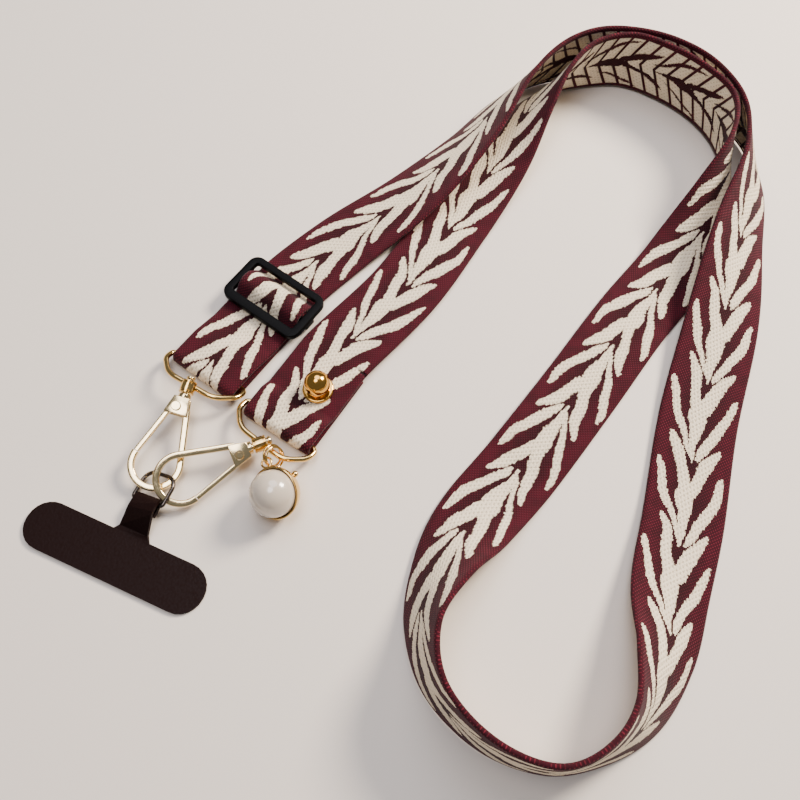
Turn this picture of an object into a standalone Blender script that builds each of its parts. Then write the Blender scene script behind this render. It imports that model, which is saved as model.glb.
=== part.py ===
# Phone crossbody strap, lying loosely on a table.
# A jacquard webbing runs from a three-bar slider at one end to a riveted turn at the other.
# Each end holds a D-ring with a swivel snap hook, and both hooks share the ring of a phone tab.
# Metres, +Z up. Plan places are measured from the hitch, the middle of the tab ring's bar.

import math

import bmesh
import bpy
from mathutils import Matrix, Vector

# Running gap between pieces that touch, and the general steps of the meshes
GAP = 0.0003
MERGE_DISTANCE = 1e-6
SHARP_ANGLE = math.radians(40)
FOLD_STEP = math.radians(30)
WIRE_STEP = math.radians(20)

# Webbing
STRAP_WIDTH = 0.025
STRAP_THICKNESS = 0.0016
LAID_LENGTH = 0.250
LAID_WIDTH = 0.240
SECTION_STEP = 0.0040
TAIL_LENGTH = 0.028
END_HEADING_1 = math.radians(55.5)
END_HEADING_2 = math.radians(58.5)
POCKET_LENGTH = 0.009
RIVET_POCKET = 0.0110
FAR_BAR_LIFT = 0.3
PLY_EASE = 0.004

# Slider
SLIDER_REACH = 0.034
SLIDER_DEPTH = 0.0188
SLIDER_BAR_NEAR = 0.0034
SLIDER_BAR_FAR = 0.0026
SLIDER_BAR_END = 0.0028
SLIDER_THICKNESS = 0.0022
SLIDER_CORNER = 0.0035
SLIDER_WINDOW_CORNER = 0.0004
SLIDER_CORE_RADIUS = 0.0010
SLIDER_SLOPE = math.radians(52)

# D-rings
D_WIRE_RADIUS = 0.0009
D_DEPTH = 0.0096
D_PLAY = 0.0007
D_FOOT_CORNER = 0.0015
D_KNEE = 0.0043
D_KNEE_CORNER = 0.0045
D_BOW_CORNER = 0.0072
D_BOW_SHARE = 0.62
D_HEADING_1 = math.radians(-118.5)
D_HEADING_2 = math.radians(-126)
BARREL_RADIUS = 0.0021
BARREL_LENGTH = 0.0044
POST_RADIUS = 0.0011
KNOB_RADIUS = 0.0015
KNOB_LENGTH = 0.0012

# Snap hooks: X along the hook from the barrel, Y towards the gate
HOOK_REACH = 0.0256
BOW_RADIUS = 0.0074
BOW_OFFSET = 0.0013
HOOK_WIRE_RADIUS = 0.0009
BLOCK_START = 0.0036
BLOCK_LENGTH = 0.0058
BLOCK_WIDTH_TOP = 0.0048
BLOCK_WIDTH_END = 0.0076
BLOCK_THICKNESS = 0.0040
BLOCK_SHIFT = 0.0006
RIVET_X = 0.0070
RIVET_Y = 0.0010
RIVET_RADIUS = 0.0008
RIVET_HEAD_RADIUS = 0.0015
RIVET_HEAD_HEIGHT = 0.0004
GATE_THICKNESS = 0.0016
GATE_EYE_RADIUS = 0.0019
HOOK_HEADING_1 = math.radians(-107)
HOOK_HEADING_2 = math.radians(-152)
HOOK_ROLL_1 = math.radians(-6)
HOOK_ROLL_2 = math.radians(-20)
BARREL_HEIGHT_1 = 0.0080
BARREL_HEIGHT_2 = 0.0058
BOW_HEIGHT_1 = 0.0040
BOW_HEIGHT_2 = 0.0058
GRIP_1 = (-0.0031, 0.0036)
GRIP_2 = (0.0018, 0.0042)

# Rivet stud through the turned end
STUD_REACH = 0.0170
STUD_OFFSET = 0.0026
STUD_BALL_RADIUS = 0.0042
STUD_BALL_RISE = 0.0034
STUD_NECK_RADIUS = 0.0026
STUD_COLLAR_RADIUS = 0.0050
STUD_COLLAR_HEIGHT = 0.0009
STUD_COLLAR_BEVEL = 0.0004
STUD_SHANK_RADIUS = 0.0014

# Pearl drop
PEARL_RADIUS = 0.0072
PEARL_HEADING = math.radians(-73)
CUP_WALL = 0.0006
CUP_REACH = math.radians(92)
CUP_STEPS = 9
CUP_AXIS = (0.50, 0.48, -0.72)
EYE_RADIUS = 0.0024
KNUCKLE_RADIUS = 0.0010
JUMP_RADIUS = 0.0032
JUMP_TILT = math.radians(45)
JUMP_PITCH = 0.0019
JUMP_PLACE = 0.0060
JUMP_HANG = 0.0010
FINE_WIRE_RADIUS = 0.0005

# Phone tab and its ring
TAB_LENGTH = 0.060
TAB_WIDTH = 0.015
TAB_THICKNESS = 0.0010
TAB_HEADING = math.radians(-22)
TAB_SHIFT = -0.0015
NECK_WIDTH = 0.0092
NECK_LENGTH = 0.0106
NECK_FLARE = 0.0030
NECK_TAIL = 0.0035
NECK_EASE = 0.00015
RING_WIRE_RADIUS = 0.00065
RING_BAR = 0.0120
RING_DEPTH = 0.0092
RING_CORNER = 0.0036
RING_ROLL = math.radians(20)

# What follows from the sizes above
LAYER = STRAP_THICKNESS + GAP
HALF_PLY = STRAP_THICKNESS / 2
D_FOLD_RADIUS = D_WIRE_RADIUS + GAP + HALF_PLY
CORE_FOLD_RADIUS = SLIDER_CORE_RADIUS + GAP + HALF_PLY
INNER_WIDTH = STRAP_WIDTH + 2 * GAP
RING_BAR_HEIGHT = (TAB_THICKNESS + GAP + RING_WIRE_RADIUS
                   + math.sin(RING_ROLL) * NECK_WIDTH / 2 + NECK_EASE)

# The webbing's way from the slider to the riveted end.
# x, y: shares of LAID_WIDTH and LAID_LENGTH from the hitch; inset: layers towards the arch's middle;
# lift: layers above the table; roll: degrees, positive where the right-hand edge stands up.
ROUTE = (
    # x,      y,    inset, lift, roll
    (0.222, 0.386, 0.0, 0.0, 3),
    (0.318, 0.464, 0.0, 0.0, 17),
    (0.405, 0.553, 0.0, 0.0, 38),
    (0.475, 0.646, 0.0, 0.0, 60),
    (0.537, 0.692, 0.0, 0.0, 77),
    (0.596, 0.709, 0.0, 0.0, 90),
    (0.651, 0.711, 0.0, 0.0, 90),
    (0.711, 0.694, 0.0, 0.0, 90),
    (0.770, 0.657, 0.0, 0.0, 84),
    (0.814, 0.592, 0.0, 0.0, 74),
    (0.822, 0.508, 0.0, 0.3, 58),
    (0.790, 0.400, 0.0, 0.8, 34),
    (0.753, 0.268, 0.0, 1.3, 8),
    (0.708, 0.132, 0.0, 0.4, 1),
    (0.673, 0.000, 0.0, 0.0, 4),
    (0.644, -0.088, 0.0, 0.0, 14),
    (0.626, -0.158, 0.0, 0.0, 36),
    (0.595, -0.223, 0.0, 0.0, 60),
    (0.549, -0.261, 0.0, 0.0, 77),
    (0.491, -0.279, 0.0, 0.0, 86),
    (0.418, -0.258, 0.0, 0.0, 85),
    (0.359, -0.201, 0.0, 0.0, 80),
    (0.346, -0.133, 0.0, 0.0, 68),
    (0.372, -0.064, 0.0, 0.0, 43),
    (0.412, -0.007, 0.0, 0.0, 14),
    (0.471, 0.063, 0.0, 0.0, 0),
    (0.553, 0.170, 0.0, 0.0, 0),
    (0.636, 0.282, 0.0, 0.0, 0),
    (0.712, 0.373, 0.0, 0.0, -6),
    (0.765, 0.450, 0.0, 0.0, -37),
    (0.787, 0.525, 0.0, 0.0, -75),
    (0.785, 0.594, 0.0, 0.0, -90),
    (0.770, 0.657, 3.0, 0.0, -90),
    (0.711, 0.694, 2.2, 0.0, -90),
    (0.651, 0.711, 1.4, 0.0, -90),
    (0.590, 0.690, 0.0, 0.0, -84),
    (0.534, 0.656, 0.0, 0.0, -63),
    (0.488, 0.600, 0.0, 0.0, -38),
    (0.444, 0.526, 0.0, 0.0, -13),
    (0.387, 0.433, 0.0, 0.2, 0),
    (0.315, 0.316, 0.0, 0.5, 0),
)
ARCH_MIDDLE = (0.62, 0.52)

COLOURS = {
    "webbing": ((0.36, 0.07, 0.10), 0.85, 0.0),
    "black_plastic": ((0.012, 0.012, 0.014), 0.5, 0.0),
    "gold": ((0.83, 0.62, 0.28), 0.2, 1.0),
    "pearl": ((0.86, 0.83, 0.78), 0.25, 0.0),
    "leather": ((0.045, 0.022, 0.018), 0.6, 0.0),
    "gunmetal": ((0.16, 0.14, 0.13), 0.3, 1.0),
}


def clear_scene():
    for obj in list(bpy.context.scene.objects):
        bpy.data.objects.remove(obj, do_unlink=True)


def material(slot):
    found = bpy.data.materials.get(slot)
    if found:
        return found
    colour, roughness, metallic = COLOURS[slot]
    made = bpy.data.materials.new(slot)
    made.use_nodes = True
    shader = made.node_tree.nodes["Principled BSDF"]
    shader.inputs["Base Color"].default_value = (*colour, 1.0)
    shader.inputs["Roughness"].default_value = roughness
    shader.inputs["Metallic"].default_value = metallic
    return made


def add_object(name, mesh, slot):
    obj = bpy.data.objects.new(name, mesh)
    bpy.context.scene.collection.objects.link(obj)
    mesh.materials.clear()
    mesh.materials.append(material(slot))
    return obj


def mesh_from(bm, name, smooth=True):
    bmesh.ops.recalc_face_normals(bm, faces=bm.faces)
    mesh = bpy.data.meshes.new(name)
    bm.to_mesh(mesh)
    bm.free()
    if smooth:
        mesh.shade_smooth()
        mesh.set_sharp_from_angle(angle=SHARP_ANGLE)
    return mesh


def heading(angle):
    return Vector((math.cos(angle), math.sin(angle), 0.0))


def frame_at(origin, along, roll=0.0, flip=False):
    # X runs along; Y is level before the roll; flip turns the piece over its X axis.
    x = along.normalized()
    y = Vector((0, 0, 1)).cross(x).normalized()
    if flip:
        y = -y
    y.rotate(Matrix.Rotation(roll, 3, x))
    z = x.cross(y)
    turn = Matrix((x, y, z)).transposed()
    return Matrix.Translation(origin) @ turn.to_4x4()


def rounded(corners, closed=False, step=FOLD_STEP):
    # corners: (point, radius); each corner becomes an arc with a point every step of turn.
    points = []
    count = len(corners)
    for index, (point, radius) in enumerate(corners):
        point = Vector(point)
        if radius == 0 or (not closed and index in (0, count - 1)):
            points.append(point)
            continue
        back = (Vector(corners[index - 1][0]) - point).normalized()
        ahead = (Vector(corners[(index + 1) % count][0]) - point).normalized()
        turn = math.pi - back.angle(ahead)
        reach = radius * math.tan(turn / 2)
        centre = point + (back + ahead).normalized() * radius / math.cos(turn / 2)
        first = point + back * reach - centre
        across = (point + ahead * reach - centre) - first * math.cos(turn)
        across = across.normalized() * radius
        pieces = max(1, round(turn / step))
        for piece in range(pieces + 1):
            angle = turn * piece / pieces
            points.append(centre + first * math.cos(angle) + across * math.sin(angle))
    return [point for index, point in enumerate(points)
            if index == 0 or (point - points[index - 1]).length > GAP / 10]


def wire(name, points, radius, closed=False, sides=10):
    # A round bar along the points, as a mesh.
    curve = bpy.data.curves.new(name, "CURVE")
    curve.dimensions = "3D"
    curve.bevel_depth = radius
    curve.bevel_resolution = sides // 2 - 2
    curve.use_fill_caps = not closed
    spline = curve.splines.new("POLY")
    spline.points.add(len(points) - 1)
    for item, point in zip(spline.points, points):
        item.co = (*point, 1.0)
    spline.use_cyclic_u = closed
    holder = bpy.data.objects.new(name, curve)
    bpy.context.scene.collection.objects.link(holder)
    bpy.context.view_layer.update()
    graph = bpy.context.evaluated_depsgraph_get()
    mesh = bpy.data.meshes.new_from_object(holder.evaluated_get(graph))
    bpy.data.objects.remove(holder, do_unlink=True)
    bm = bmesh.new()
    bm.from_mesh(mesh)
    bmesh.ops.remove_doubles(bm, verts=bm.verts, dist=MERGE_DISTANCE)
    bpy.data.meshes.remove(mesh)
    return mesh_from(bm, name)


def rod(name, radius, start, end, sides=20):
    # A round bar between two points.
    bm = bmesh.new()
    axis = Vector(end) - Vector(start)
    bmesh.ops.create_cone(bm, cap_ends=True, segments=sides, radius1=radius, radius2=radius,
                          depth=axis.length)
    turn = axis.to_track_quat("Z", "Y").to_matrix().to_4x4()
    middle = (Vector(start) + Vector(end)) / 2
    bmesh.ops.transform(bm, matrix=Matrix.Translation(middle) @ turn, verts=bm.verts)
    return mesh_from(bm, name)


def prism(name, outline, bottom, top):
    # A flat outline of (x, y) raised from bottom to top.
    bm = bmesh.new()
    base = bm.faces.new([bm.verts.new((point[0], point[1], bottom)) for point in outline])
    raised = bmesh.ops.extrude_face_region(bm, geom=[base])
    verts = [item for item in raised["geom"] if isinstance(item, bmesh.types.BMVert)]
    bmesh.ops.translate(bm, verts=verts, vec=(0, 0, top - bottom))
    return mesh_from(bm, name)


def turned(name, profile, sides=24):
    # profile: (radius, z) from the axis at the bottom to the axis at the top.
    bm = bmesh.new()
    verts = [bm.verts.new((radius, 0, z)) for radius, z in profile]
    edges = [bm.edges.new(pair) for pair in zip(verts, verts[1:])]
    bmesh.ops.spin(bm, geom=verts + edges, cent=(0, 0, 0), axis=(0, 0, 1), angle=2 * math.pi,
                   steps=sides, use_merge=True)
    bmesh.ops.remove_doubles(bm, verts=bm.verts, dist=MERGE_DISTANCE)
    return mesh_from(bm, name)


def combine(target, other_mesh, operation, seat=None):
    # Joins or cuts the target by a mesh given in the target's own coordinates, or in those of a seat.
    helper = bpy.data.objects.new("helper", other_mesh)
    bpy.context.scene.collection.objects.link(helper)
    helper.matrix_world = seat or target.matrix_world
    change = target.modifiers.new("combine", "BOOLEAN")
    change.operation = operation
    change.object = helper
    change.solver = "EXACT"
    bpy.context.view_layer.update()
    result = bpy.data.meshes.new_from_object(
        target.evaluated_get(bpy.context.evaluated_depsgraph_get()))
    target.modifiers.clear()
    bpy.data.objects.remove(helper, do_unlink=True)
    target.data = result


def rounded_box(width, depth, corner):
    # Corners of a rectangle round the origin, each with the same radius.
    x = width / 2
    y = depth / 2
    return [((x, y, 0), corner), ((-x, y, 0), corner), ((-x, -y, 0), corner), ((x, -y, 0), corner)]


def band(name, sections, widths, thickness, slot):
    # A flat band through (centre, side) sections, given its thickness by Solidify.
    bm = bmesh.new()
    rows = []
    for (centre, side), width in zip(sections, widths):
        left = bm.verts.new(centre - side * width / 2)
        right = bm.verts.new(centre + side * width / 2)
        rows.append((left, right))
    for (left_a, right_a), (left_b, right_b) in zip(rows, rows[1:]):
        bm.faces.new((left_a, right_a, right_b, left_b))
    mesh = bpy.data.meshes.new(name)
    bm.to_mesh(mesh)
    bm.free()
    obj = add_object(name, mesh, slot)
    wall = obj.modifiers.new("wall", "SOLIDIFY")
    wall.thickness = thickness
    wall.offset = 0.0
    wall.use_even_offset = True
    return obj


def end_profile_slider():
    # (along, 0, height) and radius of each bend: from the sewn turn on the slider's core bar,
    # round the D-ring, and back over the core bar.
    low = HALF_PLY
    core = low + CORE_FOLD_RADIUS
    top = low + 2 * D_FOLD_RADIUS
    ride = CORE_FOLD_RADIUS + LAYER
    over = low + LAYER
    peak = core + ride / math.cos(SLIDER_SLOPE)
    foot = (peak - over) / math.tan(SLIDER_SLOPE)
    after = low + FAR_BAR_LIFT * LAYER
    far_foot = (peak - after) / math.tan(SLIDER_SLOPE)
    return [
        ((SLIDER_REACH - GAP, 0, core + CORE_FOLD_RADIUS), 0),
        ((SLIDER_REACH + CORE_FOLD_RADIUS, 0, core + CORE_FOLD_RADIUS), CORE_FOLD_RADIUS),
        ((SLIDER_REACH + CORE_FOLD_RADIUS, 0, low), CORE_FOLD_RADIUS),
        ((-D_FOLD_RADIUS, 0, low), D_FOLD_RADIUS),
        ((-D_FOLD_RADIUS, 0, top), D_FOLD_RADIUS),
        ((POCKET_LENGTH, 0, top), PLY_EASE),
        ((2 * POCKET_LENGTH, 0, over), PLY_EASE),
        ((SLIDER_REACH - foot, 0, over), STRAP_THICKNESS),
        ((SLIDER_REACH, 0, peak), ride),
        ((SLIDER_REACH + far_foot, 0, after), STRAP_THICKNESS),
        ((slider_end(), 0, after), 0),
    ]


def end_profile_rivet():
    # (along, 0, height) and radius of each bend: from the cut end under the stud,
    # round the D-ring, to the top layer.
    low = HALF_PLY
    top = low + 2 * D_FOLD_RADIUS
    over = low + LAYER
    return [
        ((TAIL_LENGTH, 0, low), 0),
        ((-D_FOLD_RADIUS, 0, low), D_FOLD_RADIUS),
        ((-D_FOLD_RADIUS, 0, top), D_FOLD_RADIUS),
        ((RIVET_POCKET * 2 / 3, 0, top), PLY_EASE / 2),
        ((RIVET_POCKET, 0, over), PLY_EASE / 2),
        ((TAIL_LENGTH + STRAP_THICKNESS, 0, over), 0),
    ]


def slider_end():
    # Where the webbing has passed the slider's far bar
    return SLIDER_REACH + SLIDER_DEPTH / 2


def hook_frame(grip, angle, roll, barrel_height, bow_height, flip):
    # The hook's seat: its origin lies in the swivel barrel, its bow holds the tab ring at the grip.
    along = heading(angle)
    ring = tab_ring_frame()
    across = ring.to_3x3() @ Vector((1, 0, 0))
    deep = ring.to_3x3() @ Vector((0, 1, 0))
    plan = across * grip[0] + deep * grip[1]
    bow = Vector((plan.x, plan.y, 0)) - along * BOW_RADIUS
    bow.z = bow_height
    reach = math.hypot(HOOK_REACH, BOW_OFFSET)
    barrel = bow - along * reach
    barrel.z = barrel_height
    lean = math.atan2(BOW_OFFSET, HOOK_REACH) * (1 if flip else -1)
    line = bow - barrel
    line.rotate(Matrix.Rotation(lean, 3, "Z"))
    return frame_at(barrel, line, roll, flip)


def d_frame(hook, angle, bar_height):
    # X runs from the bar to the barrel; the origin is the middle of the bar.
    barrel = hook.translation
    bar = barrel - heading(angle) * D_DEPTH
    bar.z = bar_height
    return frame_at(bar, barrel - bar)


def tab_ring_frame():
    # X runs along the ring's bar, Y towards the hooks.
    along = heading(TAB_HEADING)
    along = along * math.cos(RING_ROLL) + Vector((0, 0, math.sin(RING_ROLL)))
    y = Vector((0, 0, 1)).cross(heading(TAB_HEADING))
    z = along.cross(y)
    turn = Matrix((along, y, z)).transposed()
    return Matrix.Translation((0, 0, RING_BAR_HEIGHT)) @ turn.to_4x4()


def route_points():
    # (x, y, z of the middle line, roll) rows of the free run.
    middle = Vector((ARCH_MIDDLE[0] * LAID_WIDTH, ARCH_MIDDLE[1] * LAID_LENGTH))
    rows = []
    for x, y, inset, lift, roll in ROUTE:
        place = Vector((x * LAID_WIDTH, y * LAID_LENGTH))
        place += (middle - place).normalized() * inset * LAYER
        rows.append((place.x, place.y, lift * LAYER, math.radians(roll)))
    return rows


def blend_rows(rows, parts):
    # A centripetal Catmull-Rom curve through rows of numbers, the first and last being guides.
    knots = [0.0]
    for a, b in zip(rows, rows[1:]):
        knots.append(knots[-1] + math.sqrt(math.dist(a[:2], b[:2])))
    out = []
    for index in range(1, len(rows) - 2):
        t0, t1, t2, t3 = knots[index - 1:index + 3]
        p0, p1, p2, p3 = rows[index - 1:index + 3]
        pieces = max(1, round(math.dist(p1[:2], p2[:2]) / parts))
        for piece in range(pieces):
            t = t1 + (t2 - t1) * piece / pieces
            row = []
            for v0, v1, v2, v3 in zip(p0, p1, p2, p3):
                a1 = v0 + (v1 - v0) * (t - t0) / (t1 - t0)
                a2 = v1 + (v2 - v1) * (t - t1) / (t2 - t1)
                a3 = v2 + (v3 - v2) * (t - t2) / (t3 - t2)
                b1 = a1 + (a2 - a1) * (t - t0) / (t2 - t0)
                b2 = a2 + (a3 - a2) * (t - t1) / (t3 - t1)
                row.append(b1 + (b2 - b1) * (t - t1) / (t2 - t1))
            out.append(row)
    out.append(list(rows[-2]))
    return out


def strap_sections(end_a, end_b):
    # (centre, side) along the whole webbing; side points to the right of the run.
    side_a = end_a.to_3x3() @ Vector((0, -1, 0))
    side_b = end_b.to_3x3() @ Vector((0, 1, 0))
    first = [(end_a @ point, side_a) for point in rounded(end_profile_slider())]
    last = [(end_b @ point, side_b) for point in reversed(rounded(end_profile_rivet()))]
    guides = []
    ends = ((end_a, slider_end(), FAR_BAR_LIFT * LAYER),
            (end_b, TAIL_LENGTH + STRAP_THICKNESS, LAYER))
    for frame, reach, lift in ends:
        near = frame @ Vector((reach, 0, 0))
        far = frame @ Vector((reach - SECTION_STEP * 2, 0, 0))
        guides.append(((near.x, near.y, lift, 0.0), (far.x, far.y, lift, 0.0)))
    rows = [guides[0][1], guides[0][0], *route_points(), guides[1][0], guides[1][1]]
    run = blend_rows(rows, SECTION_STEP)
    free = []
    for index in range(1, len(run) - 1):
        x, y, lift, roll = run[index]
        ahead = Vector(run[index + 1][:2]) - Vector(run[index - 1][:2])
        ahead.normalize()
        right = Vector((ahead.y, -ahead.x, 0))
        side = right * math.cos(roll) + Vector((0, 0, math.sin(roll)))
        height = HALF_PLY + lift + STRAP_WIDTH / 2 * abs(math.sin(roll))
        free.append((Vector((x, y, height)), side))
    return first + free + last


def make_strap(end_a, end_b):
    sections = strap_sections(end_a, end_b)
    strap = band("strap_webbing", sections, [STRAP_WIDTH] * len(sections), STRAP_THICKNESS, "webbing")
    place = stud_place(end_b)
    start = place @ Vector((0, 0, -GAP))
    end = place @ Vector((0, 0, 2 * D_FOLD_RADIUS + STRAP_THICKNESS))
    combine(strap, rod("hole", STUD_SHANK_RADIUS + GAP, start, end, 12), "DIFFERENCE")
    strap.data.shade_smooth()
    strap.data.set_sharp_from_angle(angle=SHARP_ANGLE)


def stud_place(end_b):
    # The stud stands through both layers.
    return end_b @ Matrix.Translation((STUD_REACH, -STUD_OFFSET, 0))


def make_stud(end_b):
    # Heights from the underside of the lower layer
    top = 2 * STRAP_THICKNESS + 2 * GAP
    ball = top + STUD_COLLAR_HEIGHT + STUD_BALL_RISE
    profile = [(0, GAP), (STUD_SHANK_RADIUS, GAP), (STUD_SHANK_RADIUS, top),
               (STUD_COLLAR_RADIUS, top),
               (STUD_COLLAR_RADIUS, top + STUD_COLLAR_HEIGHT - STUD_COLLAR_BEVEL),
               (STUD_COLLAR_RADIUS - STUD_COLLAR_BEVEL, top + STUD_COLLAR_HEIGHT)]
    first = math.asin(min(1.0, STUD_NECK_RADIUS / STUD_BALL_RADIUS))
    steps = 9
    for step in range(steps + 1):
        angle = first + (math.pi - first) * step / steps
        radius = STUD_BALL_RADIUS * math.sin(angle)
        profile.append((max(radius, 0.0), ball - STUD_BALL_RADIUS * math.cos(angle)))
    stud = add_object("rivet_stud", turned("rivet_stud", profile), "gold")
    stud.matrix_world = stud_place(end_b)


def make_slider(end_a):
    bottom = 2 * STRAP_THICKNESS + 2 * GAP
    width = INNER_WIDTH + 2 * SLIDER_BAR_END
    frame = end_a @ Matrix.Translation((SLIDER_REACH, 0, 0))
    outline = rounded(rounded_box(SLIDER_DEPTH, width, SLIDER_CORNER), closed=True)
    top = bottom + SLIDER_THICKNESS
    slider = add_object("slider", prism("slider", outline, bottom, top), "black_plastic")
    slider.matrix_world = frame
    window = rounded_box(SLIDER_DEPTH - SLIDER_BAR_NEAR - SLIDER_BAR_FAR, INNER_WIDTH,
                         SLIDER_WINDOW_CORNER)
    shift = Vector(((SLIDER_BAR_NEAR - SLIDER_BAR_FAR) / 2, 0, 0))
    hole = [point + shift for point in rounded(window, closed=True)]
    combine(slider, prism("window", hole, bottom - GAP, top + GAP), "DIFFERENCE")
    core = HALF_PLY + CORE_FOLD_RADIUS
    for sign in (-1, 1):
        inner = sign * INNER_WIDTH / 2
        outer = sign * (width / 2 - GAP)
        lug = [(-2 * SLIDER_CORE_RADIUS, inner), (2 * SLIDER_CORE_RADIUS, inner),
               (2 * SLIDER_CORE_RADIUS, outer), (-2 * SLIDER_CORE_RADIUS, outer)]
        lug_mesh = prism("lug", lug, core - SLIDER_CORE_RADIUS - GAP, top - GAP)
        combine(slider, lug_mesh, "UNION")
    reach = INNER_WIDTH / 2 + SLIDER_BAR_END / 2
    bar = rod("core", SLIDER_CORE_RADIUS, (0, -reach, core), (0, reach, core), 12)
    combine(slider, bar, "UNION")


def make_d_ring(name, seat, hook_seat):
    # A bar for the webbing, a bow, and the barrel that the hook's post turns in.
    half = STRAP_WIDTH / 2 + D_PLAY + D_WIRE_RADIUS
    bow = half * D_BOW_SHARE
    corners = [((0, -half, 0), D_FOOT_CORNER), ((0, half, 0), D_FOOT_CORNER),
               ((D_KNEE, half, 0), D_KNEE_CORNER), ((D_DEPTH, bow, 0), D_BOW_CORNER),
               ((D_DEPTH, -bow, 0), D_BOW_CORNER), ((D_KNEE, -half, 0), D_KNEE_CORNER)]
    points = rounded(corners, closed=True, step=WIRE_STEP)
    ring = add_object(name, wire(name, points, D_WIRE_RADIUS, closed=True), "gold")
    ring.matrix_world = seat
    reach = BARREL_LENGTH / 2
    combine(ring, rod("barrel", BARREL_RADIUS, (-reach, 0, 0), (reach, 0, 0)), "UNION", hook_seat)
    bore = rod("bore", POST_RADIUS + GAP, (-BARREL_LENGTH, 0, 0), (BARREL_LENGTH, 0, 0))
    combine(ring, bore, "DIFFERENCE", hook_seat)


def bow_tangent(side):
    # The bow's angle where a straight line from the block meets it, on the given side.
    across = BLOCK_SHIFT + side * (BLOCK_WIDTH_END / 2 - HOOK_WIRE_RADIUS)
    start = Vector((BLOCK_START + BLOCK_LENGTH, across))
    centre = Vector((HOOK_REACH, BOW_OFFSET))
    line = start - centre
    turn = math.acos(BOW_RADIUS / line.length)
    return start, math.atan2(line.y, line.x) - side * turn


def bow_point(angle):
    out = Vector((math.cos(angle), math.sin(angle), 0))
    return Vector((HOOK_REACH, BOW_OFFSET, 0)) + out * BOW_RADIUS


def make_hook(number, seat):
    # Post and knob, block and bow are one casting; the gate turns on the rivet.
    start, arm_angle = bow_tangent(-1)
    gate_start, gate_angle = bow_tangent(1)
    start = Vector((start.x - BLOCK_LENGTH / 3, start.y, 0))
    arm_angle = arm_angle % (2 * math.pi) - 2 * math.pi
    gate_end = gate_angle - 2 * GAP / BOW_RADIUS
    steps = 14
    points = [start]
    for step in range(steps + 1):
        points.append(bow_point(arm_angle + (gate_end - arm_angle) * step / steps))
    hook = add_object(f"hook_{number}", wire("bow", points, HOOK_WIRE_RADIUS), "gold")
    hook.matrix_world = seat
    top = BLOCK_WIDTH_TOP / 2
    end = BLOCK_WIDTH_END / 2
    block_end = BLOCK_START + BLOCK_LENGTH
    outline = [(BLOCK_START, BLOCK_SHIFT / 2 - top), (block_end, BLOCK_SHIFT - end),
               (block_end, BLOCK_SHIFT + end), (BLOCK_START, BLOCK_SHIFT / 2 + top)]
    half = BLOCK_THICKNESS / 2
    combine(hook, prism("block", outline, -half, half), "UNION")
    knob = -BARREL_LENGTH / 2 - GAP
    root = (BLOCK_START + GAP, 0, 0)
    combine(hook, rod("post", POST_RADIUS, (knob - GAP, 0, 0), root), "UNION")
    combine(hook, rod("knob", KNOB_RADIUS, (knob - KNOB_LENGTH, 0, 0), (knob, 0, 0)), "UNION")
    collar = BARREL_LENGTH / 2 + GAP
    combine(hook, rod("collar", KNOB_RADIUS, (collar, 0, 0), root), "UNION")
    slot_half = GATE_THICKNESS / 2 + GAP
    slot_start = RIVET_X - GATE_EYE_RADIUS - GAP
    slot_floor = RIVET_Y - GATE_EYE_RADIUS - GAP
    slot_end = BLOCK_START + 2 * BLOCK_LENGTH
    slot = [(slot_start, slot_floor), (slot_end, slot_floor),
            (slot_end, BLOCK_WIDTH_END), (slot_start, BLOCK_WIDTH_END)]
    combine(hook, prism("slot", slot, -slot_half, slot_half), "DIFFERENCE")
    below = (RIVET_X, RIVET_Y, -BLOCK_THICKNESS)
    above = (RIVET_X, RIVET_Y, BLOCK_THICKNESS)
    combine(hook, rod("hole", RIVET_RADIUS + GAP, below, above), "DIFFERENCE")
    make_rivet(number, seat)
    make_gate(number, seat, gate_start, gate_angle)


def make_rivet(number, seat):
    head = BLOCK_THICKNESS / 2 + GAP
    profile = [(0, -head - RIVET_HEAD_HEIGHT), (RIVET_HEAD_RADIUS, -head - RIVET_HEAD_HEIGHT),
               (RIVET_HEAD_RADIUS, -head), (RIVET_RADIUS, -head), (RIVET_RADIUS, head),
               (RIVET_HEAD_RADIUS, head), (RIVET_HEAD_RADIUS, head + RIVET_HEAD_HEIGHT),
               (0, head + RIVET_HEAD_HEIGHT)]
    rivet = add_object(f"gate_rivet_{number}", turned(f"gate_rivet_{number}", profile, 16), "gold")
    rivet.matrix_world = seat @ Matrix.Translation((RIVET_X, RIVET_Y, 0))


def make_gate(number, seat, start, angle):
    # The lever's own origin is the rivet's axis.
    pivot = Vector((RIVET_X, RIVET_Y, 0))
    knee = Vector((start.x + GATE_THICKNESS, start.y, 0))
    tip = bow_point(angle)
    knee += (tip - knee).normalized() * GATE_THICKNESS / 2
    corners = [(Vector(), 0), (knee - pivot, GATE_THICKNESS), (tip - pivot, 0)]
    gate = add_object(f"gate_{number}", wire("lever", rounded(corners), GATE_THICKNESS / 2), "gold")
    gate.matrix_world = seat @ Matrix.Translation(pivot)
    half = GATE_THICKNESS / 2
    combine(gate, rod("eye", GATE_EYE_RADIUS, (0, 0, -half), (0, 0, half)), "UNION")
    hole = rod("hole", RIVET_RADIUS + GAP, (0, 0, -GATE_THICKNESS), (0, 0, GATE_THICKNESS))
    combine(gate, hole, "DIFFERENCE")


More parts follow.
